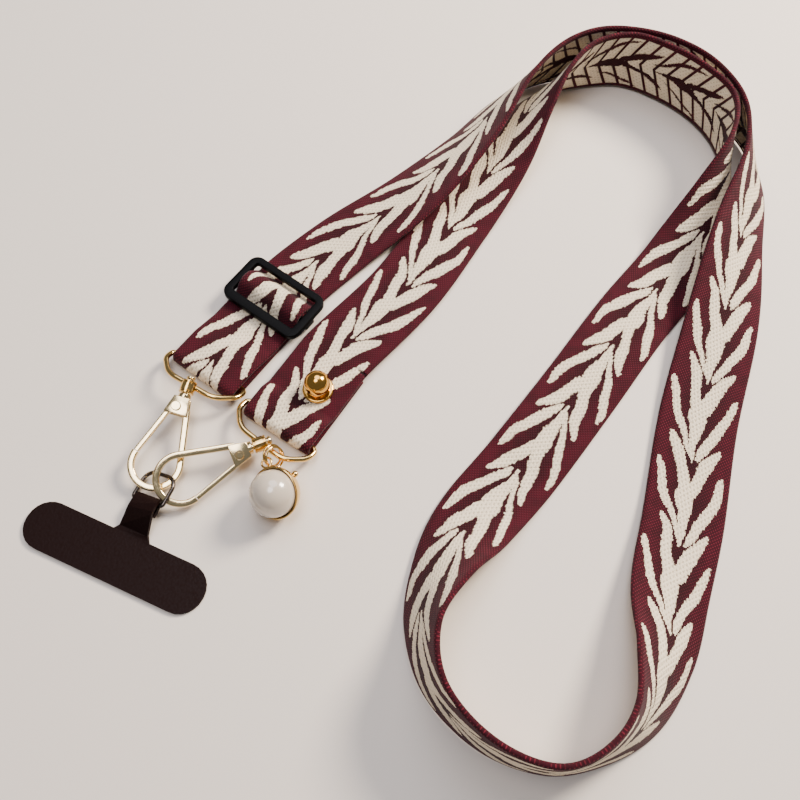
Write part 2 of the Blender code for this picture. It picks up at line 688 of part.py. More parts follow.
def make_tab():
    # A leather-like bar with round ends and a neck that turns round the ring's bar.
    seat = frame_at(Vector((0, 0, 0)), heading(TAB_HEADING))
    drop = NECK_LENGTH + TAB_WIDTH / 2
    box = rounded_box(TAB_LENGTH, TAB_WIDTH, TAB_WIDTH / 2 - GAP)
    shift = Vector((TAB_SHIFT, -drop, 0))
    outline = [point + shift for point in rounded(box, True, FOLD_STEP / 2)]
    tab = add_object("phone_tab", prism("phone_tab", outline, 0, TAB_THICKNESS), "leather")
    tab.matrix_world = seat
    fold = RING_WIRE_RADIUS + GAP + TAB_THICKNESS / 2
    level = TAB_THICKNESS / 2
    rise = RING_BAR_HEIGHT
    corners = [((0, -NECK_LENGTH - 2 * TAB_THICKNESS, level), 0),
               ((0, -NECK_LENGTH + TAB_THICKNESS, level), fold * 2),
               ((0, -fold * 2, rise + fold), fold), ((0, fold, rise + fold), fold),
               ((0, fold, rise - fold), fold), ((0, -NECK_TAIL, rise - fold), 0)]
    path = rounded(corners)
    sections = []
    widths = []
    for point in path:
        near = min(1.0, max(0.0, (point.y + NECK_LENGTH) / (NECK_LENGTH - fold)))
        roll = RING_ROLL * near
        side = Vector((math.cos(roll), 0, math.sin(roll)))
        flare = max(0.0, 1 - (point.y + NECK_LENGTH) / NECK_FLARE)
        sections.append((point, side))
        widths.append(NECK_WIDTH + NECK_FLARE * min(flare, 1.0) ** 2)
    neck = band("neck", sections, widths, TAB_THICKNESS, "leather")
    bpy.context.view_layer.update()
    neck_mesh = bpy.data.meshes.new_from_object(
        neck.evaluated_get(bpy.context.evaluated_depsgraph_get()))
    bpy.data.objects.remove(neck, do_unlink=True)
    combine(tab, neck_mesh, "UNION")


def make_tab_ring(seat):
    half = RING_BAR / 2
    corners = [((-half, 0, 0), RING_CORNER / 4), ((half, 0, 0), RING_CORNER / 4),
               ((half, RING_DEPTH, 0), RING_CORNER), ((-half, RING_DEPTH, 0), RING_CORNER)]
    points = rounded(corners, closed=True, step=WIRE_STEP)
    ring = add_object("tab_ring", wire("tab_ring", points, RING_WIRE_RADIUS, True, 8), "gunmetal")
    ring.matrix_world = seat


def make_pearl(d_seat):
    # The pearl sits in a half shell whose eye hangs on two jump rings round the D-ring's bow.
    hang = Vector((D_DEPTH + JUMP_HANG, JUMP_PLACE, 0))
    eye = d_seat @ (hang + Vector((JUMP_RADIUS, 0, 0)))
    shell = PEARL_RADIUS + GAP + CUP_WALL
    reach = shell + EYE_RADIUS
    plan = math.sqrt(reach ** 2 - (shell - eye.z) ** 2)
    centre = Vector((eye.x, eye.y, 0)) + heading(PEARL_HEADING) * plan
    centre.z = shell
    bm = bmesh.new()
    bmesh.ops.create_uvsphere(bm, u_segments=20, v_segments=12, radius=PEARL_RADIUS)
    pearl = add_object("pearl", mesh_from(bm, "pearl"), "pearl")
    pearl.location = centre
    hollow = shell - CUP_WALL
    outer = []
    inner = []
    for step in range(CUP_STEPS + 1):
        angle = CUP_REACH * step / CUP_STEPS
        outer.append((shell * math.sin(angle), shell * math.cos(angle)))
        inner.append((hollow * math.sin(angle), hollow * math.cos(angle)))
    cup = add_object("pearl_cup", turned("pearl_cup", outer + inner[::-1], 24), "gold")
    turn = Vector(CUP_AXIS).to_track_quat("Z", "Y").to_matrix().to_4x4()
    cup.matrix_world = Matrix.Translation(centre) @ turn
    inward = (centre - eye).normalized()
    across = d_seat.to_3x3() @ Vector((0, -math.sin(JUMP_TILT), math.cos(JUMP_TILT)))
    normal = (across - inward * across.dot(inward)).normalized()
    eye_turn = Matrix((inward, normal.cross(inward), normal)).transposed().to_4x4()
    eye_loop = loop("eye", EYE_RADIUS, FINE_WIRE_RADIUS, 12)
    combine(cup, eye_loop, "UNION", Matrix.Translation(eye) @ eye_turn)
    bm = bmesh.new()
    bmesh.ops.create_icosphere(bm, subdivisions=2, radius=KNUCKLE_RADIUS)
    side = Vector((CUP_AXIS[0], CUP_AXIS[1], 0)).normalized() * (shell + CUP_WALL)
    combine(cup, mesh_from(bm, "knuckle"), "UNION", Matrix.Translation(centre + side))
    for number, sign in ((1, -1), (2, 1)):
        name = f"jump_ring_{number}"
        ring = add_object(name, loop(name, JUMP_RADIUS, FINE_WIRE_RADIUS, 24), "gold")
        place = hang + Vector((0, sign * JUMP_PITCH / 2, 0))
        upright = Matrix.Rotation(JUMP_TILT - math.pi / 2, 4, "X")
        ring.matrix_world = d_seat @ Matrix.Translation(place) @ upright


def loop(name, radius, wire_radius, steps):
    # A round ring of wire in its own XY plane
    points = []
    for step in range(steps):
        angle = 2 * math.pi * step / steps
        points.append(Vector((radius * math.cos(angle), radius * math.sin(angle), 0)))
    return wire(name, points, wire_radius, closed=True, sides=8)


def fold_frame(d_seat, angle):
    # The webbing's turn clears a D-ring that stands askew in it.
    askew = d_seat.to_3x3() @ Vector((1, 0, 0))
    away = heading(angle)
    slip = abs(askew.x * away.y - askew.y * away.x) * INNER_WIDTH / 2
    place = d_seat.translation - away * slip
    return frame_at(Vector((place.x, place.y, 0)), away)


def stand_on_origin():
    # Brings the bottom centre of the whole strap's box to the origin.
    bpy.context.view_layer.update()
    graph = bpy.context.evaluated_depsgraph_get()
    low = Vector((math.inf, math.inf, math.inf))
    high = -low
    for obj in bpy.context.scene.objects:
        for vertex in obj.evaluated_get(graph).data.vertices:
            point = obj.matrix_world @ vertex.co
            low = Vector(map(min, low, point))
            high = Vector(map(max, high, point))
    shift = Vector((-(low.x + high.x) / 2, -(low.y + high.y) / 2, -low.z))
    for obj in bpy.context.scene.objects:
        obj.matrix_world = Matrix.Translation(shift) @ obj.matrix_world


def build():
    clear_scene()
    ring_seat = tab_ring_frame()
    hook_1 = hook_frame(GRIP_1, HOOK_HEADING_1, HOOK_ROLL_1, BARREL_HEIGHT_1, BOW_HEIGHT_1, True)
    hook_2 = hook_frame(GRIP_2, HOOK_HEADING_2, HOOK_ROLL_2, BARREL_HEIGHT_2, BOW_HEIGHT_2, False)
    d_ring_1 = d_frame(hook_1, D_HEADING_1, HALF_PLY + D_FOLD_RADIUS)
    d_ring_2 = d_frame(hook_2, D_HEADING_2, HALF_PLY + D_FOLD_RADIUS)
    end_1 = fold_frame(d_ring_1, END_HEADING_1)
    end_2 = fold_frame(d_ring_2, END_HEADING_2)
    make_strap(end_1, end_2)
    make_slider(end_1)
    make_stud(end_2)
    make_d_ring("d_ring_1", d_ring_1, hook_1)
    make_d_ring("d_ring_2", d_ring_2, hook_2)
    make_hook(1, hook_1)
    make_hook(2, hook_2)
    make_pearl(d_ring_2)
    make_tab_ring(ring_seat)
    make_tab()
    stand_on_origin()


build()
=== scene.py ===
import math

import bmesh
import bpy
from mathutils import Matrix, Vector


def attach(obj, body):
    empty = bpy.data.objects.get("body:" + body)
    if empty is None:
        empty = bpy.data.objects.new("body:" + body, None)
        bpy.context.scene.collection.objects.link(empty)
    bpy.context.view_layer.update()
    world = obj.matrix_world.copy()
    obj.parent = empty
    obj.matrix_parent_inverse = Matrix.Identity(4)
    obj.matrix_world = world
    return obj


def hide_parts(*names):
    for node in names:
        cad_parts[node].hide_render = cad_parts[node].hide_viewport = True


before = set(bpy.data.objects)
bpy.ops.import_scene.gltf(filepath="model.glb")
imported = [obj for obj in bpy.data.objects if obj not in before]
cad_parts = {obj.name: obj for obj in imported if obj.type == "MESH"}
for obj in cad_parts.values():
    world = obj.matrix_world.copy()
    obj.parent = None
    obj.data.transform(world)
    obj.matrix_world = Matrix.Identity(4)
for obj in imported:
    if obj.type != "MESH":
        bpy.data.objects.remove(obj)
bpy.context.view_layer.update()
mm = 0.001
up = Vector((0, 0, 1))
tinyStep = 0.001 * mm              # points nearer than this are one point
sharpTurn = math.radians(35)       # shading breaks where faces turn more than this
cornerTurn = math.radians(60)      # and a plate's edge is rounded over where they turn more than this


# Small helpers

def linearColour(hexCode):
    # sRGB hex to the linear colour that Blender's sockets hold
    parts = [int(hexCode[i:i + 2], 16) / 255 for i in (1, 3, 5)]
    return (*[p / 12.92 if p <= 0.04045 else ((p + 0.055) / 1.055) ** 2.4 for p in parts], 1.0)


def addNode(tree, kind, *inputs, output=None, **settings):
    # Adds one node: inputs go in by place, each a value or another node's output, and None leaves one alone
    node = tree.nodes.new("ShaderNode" + kind)
    for key, value in settings.items():
        setattr(node, key, value)
    for socket, value in zip([socket for socket in node.inputs if socket.enabled], inputs):
        if isinstance(value, bpy.types.NodeSocket):
            tree.links.new(value, socket)
        elif value is not None:
            socket.default_value = value
    return node.outputs[output] if output else next(socket for socket in node.outputs if socket.enabled)


def newMaterial(name, colour="#808080", roughness=0.5, metallic=0.0, sockets=None):
    made = bpy.data.materials.new(name)
    made.use_nodes = True
    shader = made.node_tree.nodes["Principled BSDF"]
    shader.inputs["Base Color"].default_value = linearColour(colour)
    shader.inputs["Roughness"].default_value = roughness
    shader.inputs["Metallic"].default_value = metallic
    for key, value in (sockets or {}).items():
        shader.inputs[key].default_value = value
    return made, made.node_tree, shader


def finishMesh(bm, name, material, body, node):
    # Closes a piece's mesh, and puts the piece on its body in place of the CAD node
    bmesh.ops.remove_doubles(bm, verts=bm.verts, dist=tinyStep)
    bmesh.ops.recalc_face_normals(bm, faces=bm.faces)
    mesh = bpy.data.meshes.new(name)
    bm.to_mesh(mesh)
    bm.free()
    mesh.shade_smooth()
    mesh.set_sharp_from_angle(angle=sharpTurn)
    mesh.materials.append(material)
    piece = bpy.data.objects.new(name, mesh)
    bpy.context.scene.collection.objects.link(piece)
    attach(piece, body)
    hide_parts(node)
    return piece


# The webbing's way over the table

webbing = {
    "width": 25 * mm,
    "thickness": 1.6 * mm,
    "selvedge": 0.6 * mm,          # the edge is rounded off over this much
    "selvedgeThickness": 0.45,     # share of the thickness left at the very edge
    "runStep": 1.1 * mm,
    "foldStep": math.radians(12),
    "shortest": 0.03 * mm,         # bends are drawn with no step under this
    "quadsAcross": 24,
    "hitch": (-83.987 * mm, -53.753 * mm),      # where the tab's ring lies, from the frame's origin
    "lift": 0.04 * mm,             # of the laid hardware above the frame's floor
    "laidWidth": 240 * mm,
    "laidLength": 250 * mm,
    "gap": 0.3 * mm,
    "wire": 0.9 * mm,              # the D-rings' wire radius
    "core": 1.0 * mm,              # the slider's hidden core bar
    "sliderReach": 34 * mm,
    "sliderDepth": 18.8 * mm,
    "sliderSlope": math.radians(52),
    "pocket": 9 * mm,
    "rivetPocket": 11 * mm,
    "tail": 28 * mm,
    "plyEase": 4 * mm,
    "farLift": 0.3,                # in layers, where the webbing leaves the slider
    "guide": 8 * mm,               # how far back the run's outer guide points lie
    "archMiddle": (0.62, 0.52),
    "endPlaces": ((12.22 * mm, 43.486 * mm), (37.45 * mm, 25.718 * mm)),   # from the hitch
    "endHeadings": (math.radians(55.5), math.radians(58.5)),
}

# x, y: shares of the laid width and length from the hitch; inset: layers towards the arch's middle;
# lift: layers above the table; roll: degrees, positive where the right-hand edge stands up
route = (
    # x,      y,    inset, lift, roll
    (0.222, 0.386, 0.0, 0.0, 3),
    (0.318, 0.464, 0.0, 0.0, 17),
    (0.405, 0.553, 0.0, 0.0, 38),
    (0.475, 0.646, 0.0, 0.0, 60),
    (0.537, 0.692, 0.0, 0.0, 77),
    (0.596, 0.709, 0.0, 0.0, 90),
    (0.651, 0.711, 0.0, 0.0, 90),
    (0.711, 0.694, 0.0, 0.0, 90),
    (0.770, 0.657, 0.0, 0.0, 84),
    (0.814, 0.592, 0.0, 0.0, 74),
    (0.822, 0.508, 0.0, 0.3, 58),
    (0.790, 0.400, 0.0, 0.8, 34),
    (0.753, 0.268, 0.0, 1.3, 8),
    (0.708, 0.132, 0.0, 0.4, 1),
    (0.673, 0.000, 0.0, 0.0, 4),
    (0.644, -0.088, 0.0, 0.0, 14),
    (0.626, -0.158, 0.0, 0.0, 36),
    (0.595, -0.223, 0.0, 0.0, 60),
    (0.549, -0.261, 0.0, 0.0, 77),
    (0.491, -0.279, 0.0, 0.0, 86),
    (0.418, -0.258, 0.0, 0.0, 85),
    (0.359, -0.201, 0.0, 0.0, 80),
    (0.346, -0.133, 0.0, 0.0, 68),
    (0.372, -0.064, 0.0, 0.0, 43),
    (0.412, -0.007, 0.0, 0.0, 14),
    (0.471, 0.063, 0.0, 0.0, 0),
    (0.553, 0.170, 0.0, 0.0, 0),
    (0.636, 0.282, 0.0, 0.0, 0),
    (0.712, 0.373, 0.0, 0.0, -6),
    (0.765, 0.450, 0.0, 0.0, -37),
    (0.787, 0.525, 0.0, 0.0, -75),
    (0.785, 0.594, 0.0, 0.0, -90),
    (0.770, 0.657, 3.0, 0.0, -90),
    (0.711, 0.694, 2.2, 0.0, -90),
    (0.651, 0.711, 1.4, 0.0, -90),
    (0.590, 0.690, 0.0, 0.0, -84),
    (0.534, 0.656, 0.0, 0.0, -63),
    (0.488, 0.600, 0.0, 0.0, -38),
    (0.444, 0.526, 0.0, 0.0, -13),
    (0.387, 0.433, 0.0, 0.2, 0),
    (0.315, 0.316, 0.0, 0.5, 0),
)


def roundedPath(corners, step):
    # (along, height, radius) corners become arcs with a point every step of turn
    points = []
    for index, (along, height, radius) in enumerate(corners):
        point = Vector((along, height))
        if radius == 0:
            points.append(point)
            continue
        back = (Vector(corners[index - 1][:2]) - point).normalized()
        ahead = (Vector(corners[(index + 1) % len(corners)][:2]) - point).normalized()
        turn = math.pi - back.angle(ahead)
        centre = point + (back + ahead).normalized() * radius / math.cos(turn / 2)
        first = point + back * radius * math.tan(turn / 2) - centre
        across = (point + ahead * radius * math.tan(turn / 2) - centre) - first * math.cos(turn)
        across = across.normalized() * radius
        pieces = max(1, round(turn / step))
        for piece in range(pieces + 1):
            angle = turn * piece / pieces
            points.append(centre + first * math.cos(angle) + across * math.sin(angle))
    kept = [points[0]]
    for point in points[1:]:
        if (point - kept[-1]).length > webbing["shortest"]:
            kept.append(point)
    return kept


def evenSteps(points, step):
    # Long straight stretches are cut so that the weave's quads stay near square
    out = [points[0]]
    for a, b in zip(points, points[1:]):
        pieces = max(1, round((b - a).length / step))
        for piece in range(1, pieces + 1):
            out.append(a.lerp(b, piece / pieces))
    return out


def sliderEndPath():
    # From the sewn turn on the core bar, round the D-ring, and back over the core bar
    w = webbing
    low = w["thickness"] / 2
    layer = w["thickness"] + w["gap"]
    dFold = w["wire"] + w["gap"] + low
    coreFold = w["core"] + w["gap"] + low
    core = low + coreFold
    top = low + 2 * dFold
    ride = coreFold + layer
    over = low + layer
    reach = w["sliderReach"]
    peak = core + ride / math.cos(w["sliderSlope"])
    foot = (peak - over) / math.tan(w["sliderSlope"])
    after = low + w["farLift"] * layer
    farFoot = (peak - after) / math.tan(w["sliderSlope"])
    corners = [
        (reach - w["gap"], core + coreFold, 0),
        (reach + coreFold, core + coreFold, coreFold),
        (reach + coreFold, low, coreFold),
        (-dFold, low, dFold),
        (-dFold, top, dFold),
        (w["pocket"], top, w["plyEase"]),
        (2 * w["pocket"], over, w["plyEase"]),
        (reach - foot, over, w["thickness"]),
        (reach, peak, ride),
        (reach + farFoot, after, w["thickness"]),
        (reach + w["sliderDepth"] / 2, after, 0),
    ]
    return evenSteps(roundedPath(corners, w["foldStep"]), w["runStep"])


def rivetEndPath():
    # From the cut end under the stud, round the D-ring, to the top layer
    w = webbing
    low = w["thickness"] / 2
    dFold = w["wire"] + w["gap"] + low
    over = low + w["thickness"] + w["gap"]
    corners = [
        (w["tail"], low, 0),
        (-dFold, low, dFold),
        (-dFold, low + 2 * dFold, dFold),
        (w["rivetPocket"] * 2 / 3, low + 2 * dFold, w["plyEase"] / 2),
        (w["rivetPocket"], over, w["plyEase"] / 2),
        (w["tail"] + w["thickness"], over, 0),
    ]
    return evenSteps(roundedPath(corners, w["foldStep"]), w["runStep"])


def blendRows(rows, step):
    # A centripetal Catmull-Rom curve through rows of numbers; the first and last row are guides
    knots = [0.0]
    for a, b in zip(rows, rows[1:]):
        knots.append(knots[-1] + math.sqrt(math.dist(a[:2], b[:2])))
    out = []
    for index in range(1, len(rows) - 2):
        t0, t1, t2, t3 = knots[index - 1:index + 3]
        p0, p1, p2, p3 = rows[index - 1:index + 3]
        pieces = max(1, round(math.dist(p1[:2], p2[:2]) / step))
        for piece in range(pieces):
            t = t1 + (t2 - t1) * piece / pieces
            row = []
            for v0, v1, v2, v3 in zip(p0, p1, p2, p3):
                a1 = v0 + (v1 - v0) * (t - t0) / (t1 - t0)
                a2 = v1 + (v2 - v1) * (t - t1) / (t2 - t1)
                a3 = v2 + (v3 - v2) * (t - t2) / (t3 - t2)
                b1 = a1 + (a2 - a1) * (t - t0) / (t2 - t0)
                b2 = a2 + (a3 - a2) * (t - t1) / (t3 - t1)
                row.append(b1 + (b2 - b1) * (t - t1) / (t2 - t1))
            out.append(row)
    out.append(list(rows[-2]))
    return out


def headed(angle):
    return Vector((math.cos(angle), math.sin(angle), 0))


def webbingEnd(index):
    # Where the webbing turns in its D-ring, with the level directions along it and to its left
    along = headed(webbing["endHeadings"][index])
    place = Vector((*webbing["hitch"], 0)) + Vector((*webbing["endPlaces"][index], 0))
    return place, along, up.cross(along)


def webbingSections():
    # (centre, side) all along; side points to the right of the run
    w = webbing
    hitch = Vector((*w["hitch"], 0))
    layer = w["thickness"] + w["gap"]
    placeA, alongA, leftA = webbingEnd(0)
    placeB, alongB, leftB = webbingEnd(1)
    first = [(placeA + alongA * p.x + Vector((0, 0, p.y)), -leftA) for p in sliderEndPath()]
    last = [(placeB + alongB * p.x + Vector((0, 0, p.y)), leftB) for p in reversed(rivetEndPath())]
    middle = Vector((w["archMiddle"][0] * w["laidWidth"], w["archMiddle"][1] * w["laidLength"]))
    rows = []
    for x, y, inset, lift, roll in route:
        place = Vector((x * w["laidWidth"], y * w["laidLength"]))
        place += (middle - place).normalized() * inset * layer
        rows.append((hitch.x + place.x, hitch.y + place.y, lift * layer, math.radians(roll)))
    guides = []
    reachA = w["sliderReach"] + w["sliderDepth"] / 2
    reachB = w["tail"] + w["thickness"]
    liftA = w["farLift"] * layer
    for place, along, reach, lift in ((placeA, alongA, reachA, liftA), (placeB, alongB, reachB, layer)):
        near = place + along * reach
        far = place + along * (reach - w["guide"])
        guides.append(((near.x, near.y, lift, 0.0), (far.x, far.y, lift, 0.0)))
    run = blendRows([guides[0][1], guides[0][0], *rows, guides[1][0], guides[1][1]], w["runStep"])
    free = []
    for index in range(1, len(run) - 1):
        x, y, lift, roll = run[index]
        ahead = (Vector(run[index + 1][:2]) - Vector(run[index - 1][:2])).normalized()
        side = Vector((ahead.y, -ahead.x, 0)) * math.cos(roll) + Vector((0, 0, math.sin(roll)))
        height = w["thickness"] / 2 + lift + w["width"] / 2 * abs(math.sin(roll))
        free.append((Vector((x, y, height)), side))
    return first + free + last


def makeWebbing(front, back):
    # A flat grid is laid along the route; its UV map holds widths of webbing across and along
    w = webbing
    sections = webbingSections()
    length = 0.0
    alongs = [0.0]
    for a, b in zip(sections, sections[1:]):
        length += (b[0] - a[0]).length
        alongs.append(length)
    bm = bmesh.new()
    bmesh.ops.create_grid(bm, x_segments=w["quadsAcross"], y_segments=len(sections) - 1, size=1.0)
    uvLayer = bm.loops.layers.uv.new("webbing")
    weights = bm.verts.layers.deform.new()
    rowLayer = bm.verts.layers.int.new("row")
    flatPart = w["width"] - 2 * w["selvedge"]
    for vert in bm.verts:
        row = round((vert.co.y + 1) / 2 * (len(sections) - 1))
        share = vert.co.x / 2
        isEdge = abs(share) > 0.499
        across = share * (w["width"] if isEdge else flatPart / (1 - 2 / w["quadsAcross"]))
        vert[weights][0] = w["selvedgeThickness"] if isEdge else 1.0
        vert[rowLayer] = row
        vert.co = (across, alongs[row], 0)
    for face in bm.faces:
        for loop in face.loops:
            x, y, z = loop.vert.co
            loop[uvLayer].uv = (x / w["width"] + 0.5, y / w["width"])
    for vert in bm.verts:
        centre, side = sections[vert[rowLayer]]
        vert.co = centre + side * vert.co.x
    mesh = bpy.data.meshes.new("jacquard_webbing")
    bm.to_mesh(mesh)
    bm.free()
    mesh.shade_smooth()
    piece = bpy.data.objects.new("jacquard_webbing", mesh)
    bpy.context.scene.collection.objects.link(piece)
    piece.vertex_groups.new(name="full")
    mesh.materials.append(front)
    mesh.materials.append(back)
    wall = piece.modifiers.new("wall", "SOLIDIFY")
    wall.thickness = w["thickness"]
    wall.offset = 0.0
    wall.vertex_group = "full"
    wall.material_offset = 1
    wall.material_offset_rim = 1
    print("webbing length", round(length, 4))
    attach(piece, "strap")
    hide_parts("strap_webbing")


# Jacquard pattern, worked out in millimetres across and along the webbing

pattern = {
    "repeat": 26.0,                # of the drawn strokes
    "stretch": 0.932,              # the drawn repeat of 26 comes to 27.9 mm on the webbing
    "phase": 5.6,                  # slides the pattern along the webbing
    "yarnAcross": 0.36,            # the edge of a stroke steps by one warp thread
    "yarnAlong": 0.52,             # and by one weft thread
    "ragged": 0.42,                # how far an edge wanders
    "drift": 0.8,                  # how far a whole stroke wanders from repeat to repeat
    "fullness": 0.84,              # share of the drawn stroke widths
    "reach": 15.0,                 # a curve node holds 0 to 1, so places are kept as shares of this
    "ribPitch": 1.15,              # raised cream floats
    "stitchPitch": 1.7,            # where a float dips under
    "twillPitch": 0.95,            # real twill is half as coarse, but would not show
    "crossPitch": 1.3,
    "tiePitch": 5.2,               # the back's long floats are tied down this often
    "backBand": 10.75,             # the back's floats stop this far from the middle
    "puff": 0.5,                   # height of the floats
    "weave": 0.24,
    "fine": 0.10,
    "cream": "#f0e0c4",
    "creamShade": "#c9b595",
    "burgundy": "#360714",
    # painted highlight on the raised twill crowns
    "burgundyTwillHighlight": "#7a2331",
    "maroon": "#1f080a",
}

# Each stroke: (along, across, half width) from its backward tip, with 0 at the spine's point
strokes = {
    "spine": ((7.0, 0.5, 0.4), (9.0, 0.6, 2.2), (12.0, 0.7, 3.4), (18.0, 0.25, 2.4),
              (22.5, 0.3, 1.35), (24.5, 0.2, 0.95), (26.8, 0.0, 0.45), (27.6, 0.0, 0.0)),
    "longLeft": ((-24.8, 10.4, 0.0), (-24.0, 10.3, 0.8), (-18.6, 8.7, 1.6), (-11.0, 5.8, 1.5),
                 (-6.1, 3.2, 1.05), (-3.5, 2.1, 0.9), (-0.3, 0.8, 0.0)),
    "longRight": ((-22.2, -10.4, 0.0), (-21.5, -10.1, 0.7), (-16.2, -9.1, 1.7), (-10.3, -6.7, 2.2),
                  (-4.9, -4.0, 1.8), (-1.5, -2.5, 1.4), (1.0, -1.7, 0.0)),
    "shortLeft": ((-7.6, 7.3, 0.0), (-6.9, 7.0, 0.9), (-2.2, 4.5, 2.0), (3.0, 3.2, 2.0),
                  (7.2, 1.9, 2.2), (11.0, 0.8, 2.0), (12.5, 0.2, 0.0)),
    "shortRight": ((-4.5, -8.0, 0.0), (-3.6, -7.4, 1.1), (0.7, -4.9, 2.5), (4.5, -3.5, 2.6),
                   (8.8, -1.9, 2.5), (11.0, -1.3, 2.2), (12.5, -0.6, 0.0)),
}


def strokeField(tree, across, along):
    # How far inside the nearest cream stroke a point lies, in millimetres
    deepest = None
    repeat, reach = pattern["repeat"], pattern["reach"]
    for points in strokes.values():
        begin = points[0][0]
        turns = addNode(tree, "Math", along, 1 / repeat, -begin / repeat, operation="MULTIPLY_ADD")
        phase = addNode(tree, "Math", turns, operation="FRACT")
        middle = addNode(tree, "FloatCurve", 1.0, phase)
        half = addNode(tree, "FloatCurve", 1.0, phase)
        for drawn, values in ((middle, [0.5 + p[1] / reach / 2 for p in points]),
                              (half, [p[2] * pattern["fullness"] / reach for p in points])):
            curve = drawn.node.mapping.curves[0]
            places = [(point[0] - begin) / repeat for point in points]
            curve.points[0].location = (places[0], values[0])
            curve.points[1].location = (places[1], values[1])
            for place, value in zip(places[2:], values[2:]):
                curve.points.new(place, value)
            drawn.node.mapping.update()
        centre = addNode(tree, "Math", middle, 2 * reach, -reach, operation="MULTIPLY_ADD")
        off = addNode(tree, "Math", across, centre, operation="SUBTRACT")
        off = addNode(tree, "Math", off, operation="ABSOLUTE")
        width = addNode(tree, "Math", half, reach, operation="MULTIPLY")
        inside = addNode(tree, "Math", width, off, operation="SUBTRACT")
        # Beyond its ends a stroke counts as far away
        drawnHere = addNode(tree, "Math", half, 0.004, operation="GREATER_THAN")
        inside = addNode(tree, "Math", inside, 20.0, operation="SUBTRACT")
        inside = addNode(tree, "Math", drawnHere, 20.0, inside, operation="MULTIPLY_ADD")
        if deepest is not None:
            inside = addNode(tree, "Math", deepest, inside, operation="MAXIMUM")
        deepest = inside
    return deepest


def webbingCoordinates(tree):
    # Millimetres across, from the middle, and along
    uv = addNode(tree, "UVMap", uv_map="webbing")
    shareAcross, shareAlong = addNode(tree, "SeparateXYZ", uv).node.outputs[:2]
    width = webbing["width"] / mm
    across = addNode(tree, "Math", shareAcross, width, -width / 2, operation="MULTIPLY_ADD")
    drawn = width * pattern["stretch"]
    along = addNode(tree, "Math", shareAlong, drawn, pattern["phase"], operation="MULTIPLY_ADD")
    return across, along


def raggedPlace(tree, across, along):
    # Stepped by the threads, and wandering a little from repeat to repeat
    stepAcross = addNode(tree, "Math", across, pattern["yarnAcross"], operation="SNAP")
    stepAlong = addNode(tree, "Math", along, pattern["yarnAlong"], operation="SNAP")
    place = addNode(tree, "CombineXYZ", stepAcross, stepAlong)
    fine = addNode(tree, "TexNoise", place, 1.1, 1.0, noise_dimensions="2D")
    slow = addNode(tree, "TexNoise", place, 0.12, 0.0, noise_dimensions="2D")
    ragged, drift = pattern["ragged"], pattern["drift"]
    shift = addNode(tree, "Math", fine, 2 * ragged, -ragged, operation="MULTIPLY_ADD")
    shift = addNode(tree, "Math", slow, 2 * drift, shift, operation="MULTIPLY_ADD")
    shift = addNode(tree, "Math", shift, drift, operation="SUBTRACT")
    return addNode(tree, "Math", stepAcross, shift, operation="ADD"), stepAlong


def wave(tree, straight, slanted, slant, pitch):
    # 0 to 1 and back once every pitch, on lines that lean by the slant
    value = addNode(tree, "Math", slanted, slant, straight, operation="MULTIPLY_ADD")
    value = addNode(tree, "Math", value, 2 * math.pi / pitch, operation="MULTIPLY")
    value = addNode(tree, "Math", value, operation="SINE")
    return addNode(tree, "Math", value, 0.5, 0.5, operation="MULTIPLY_ADD")


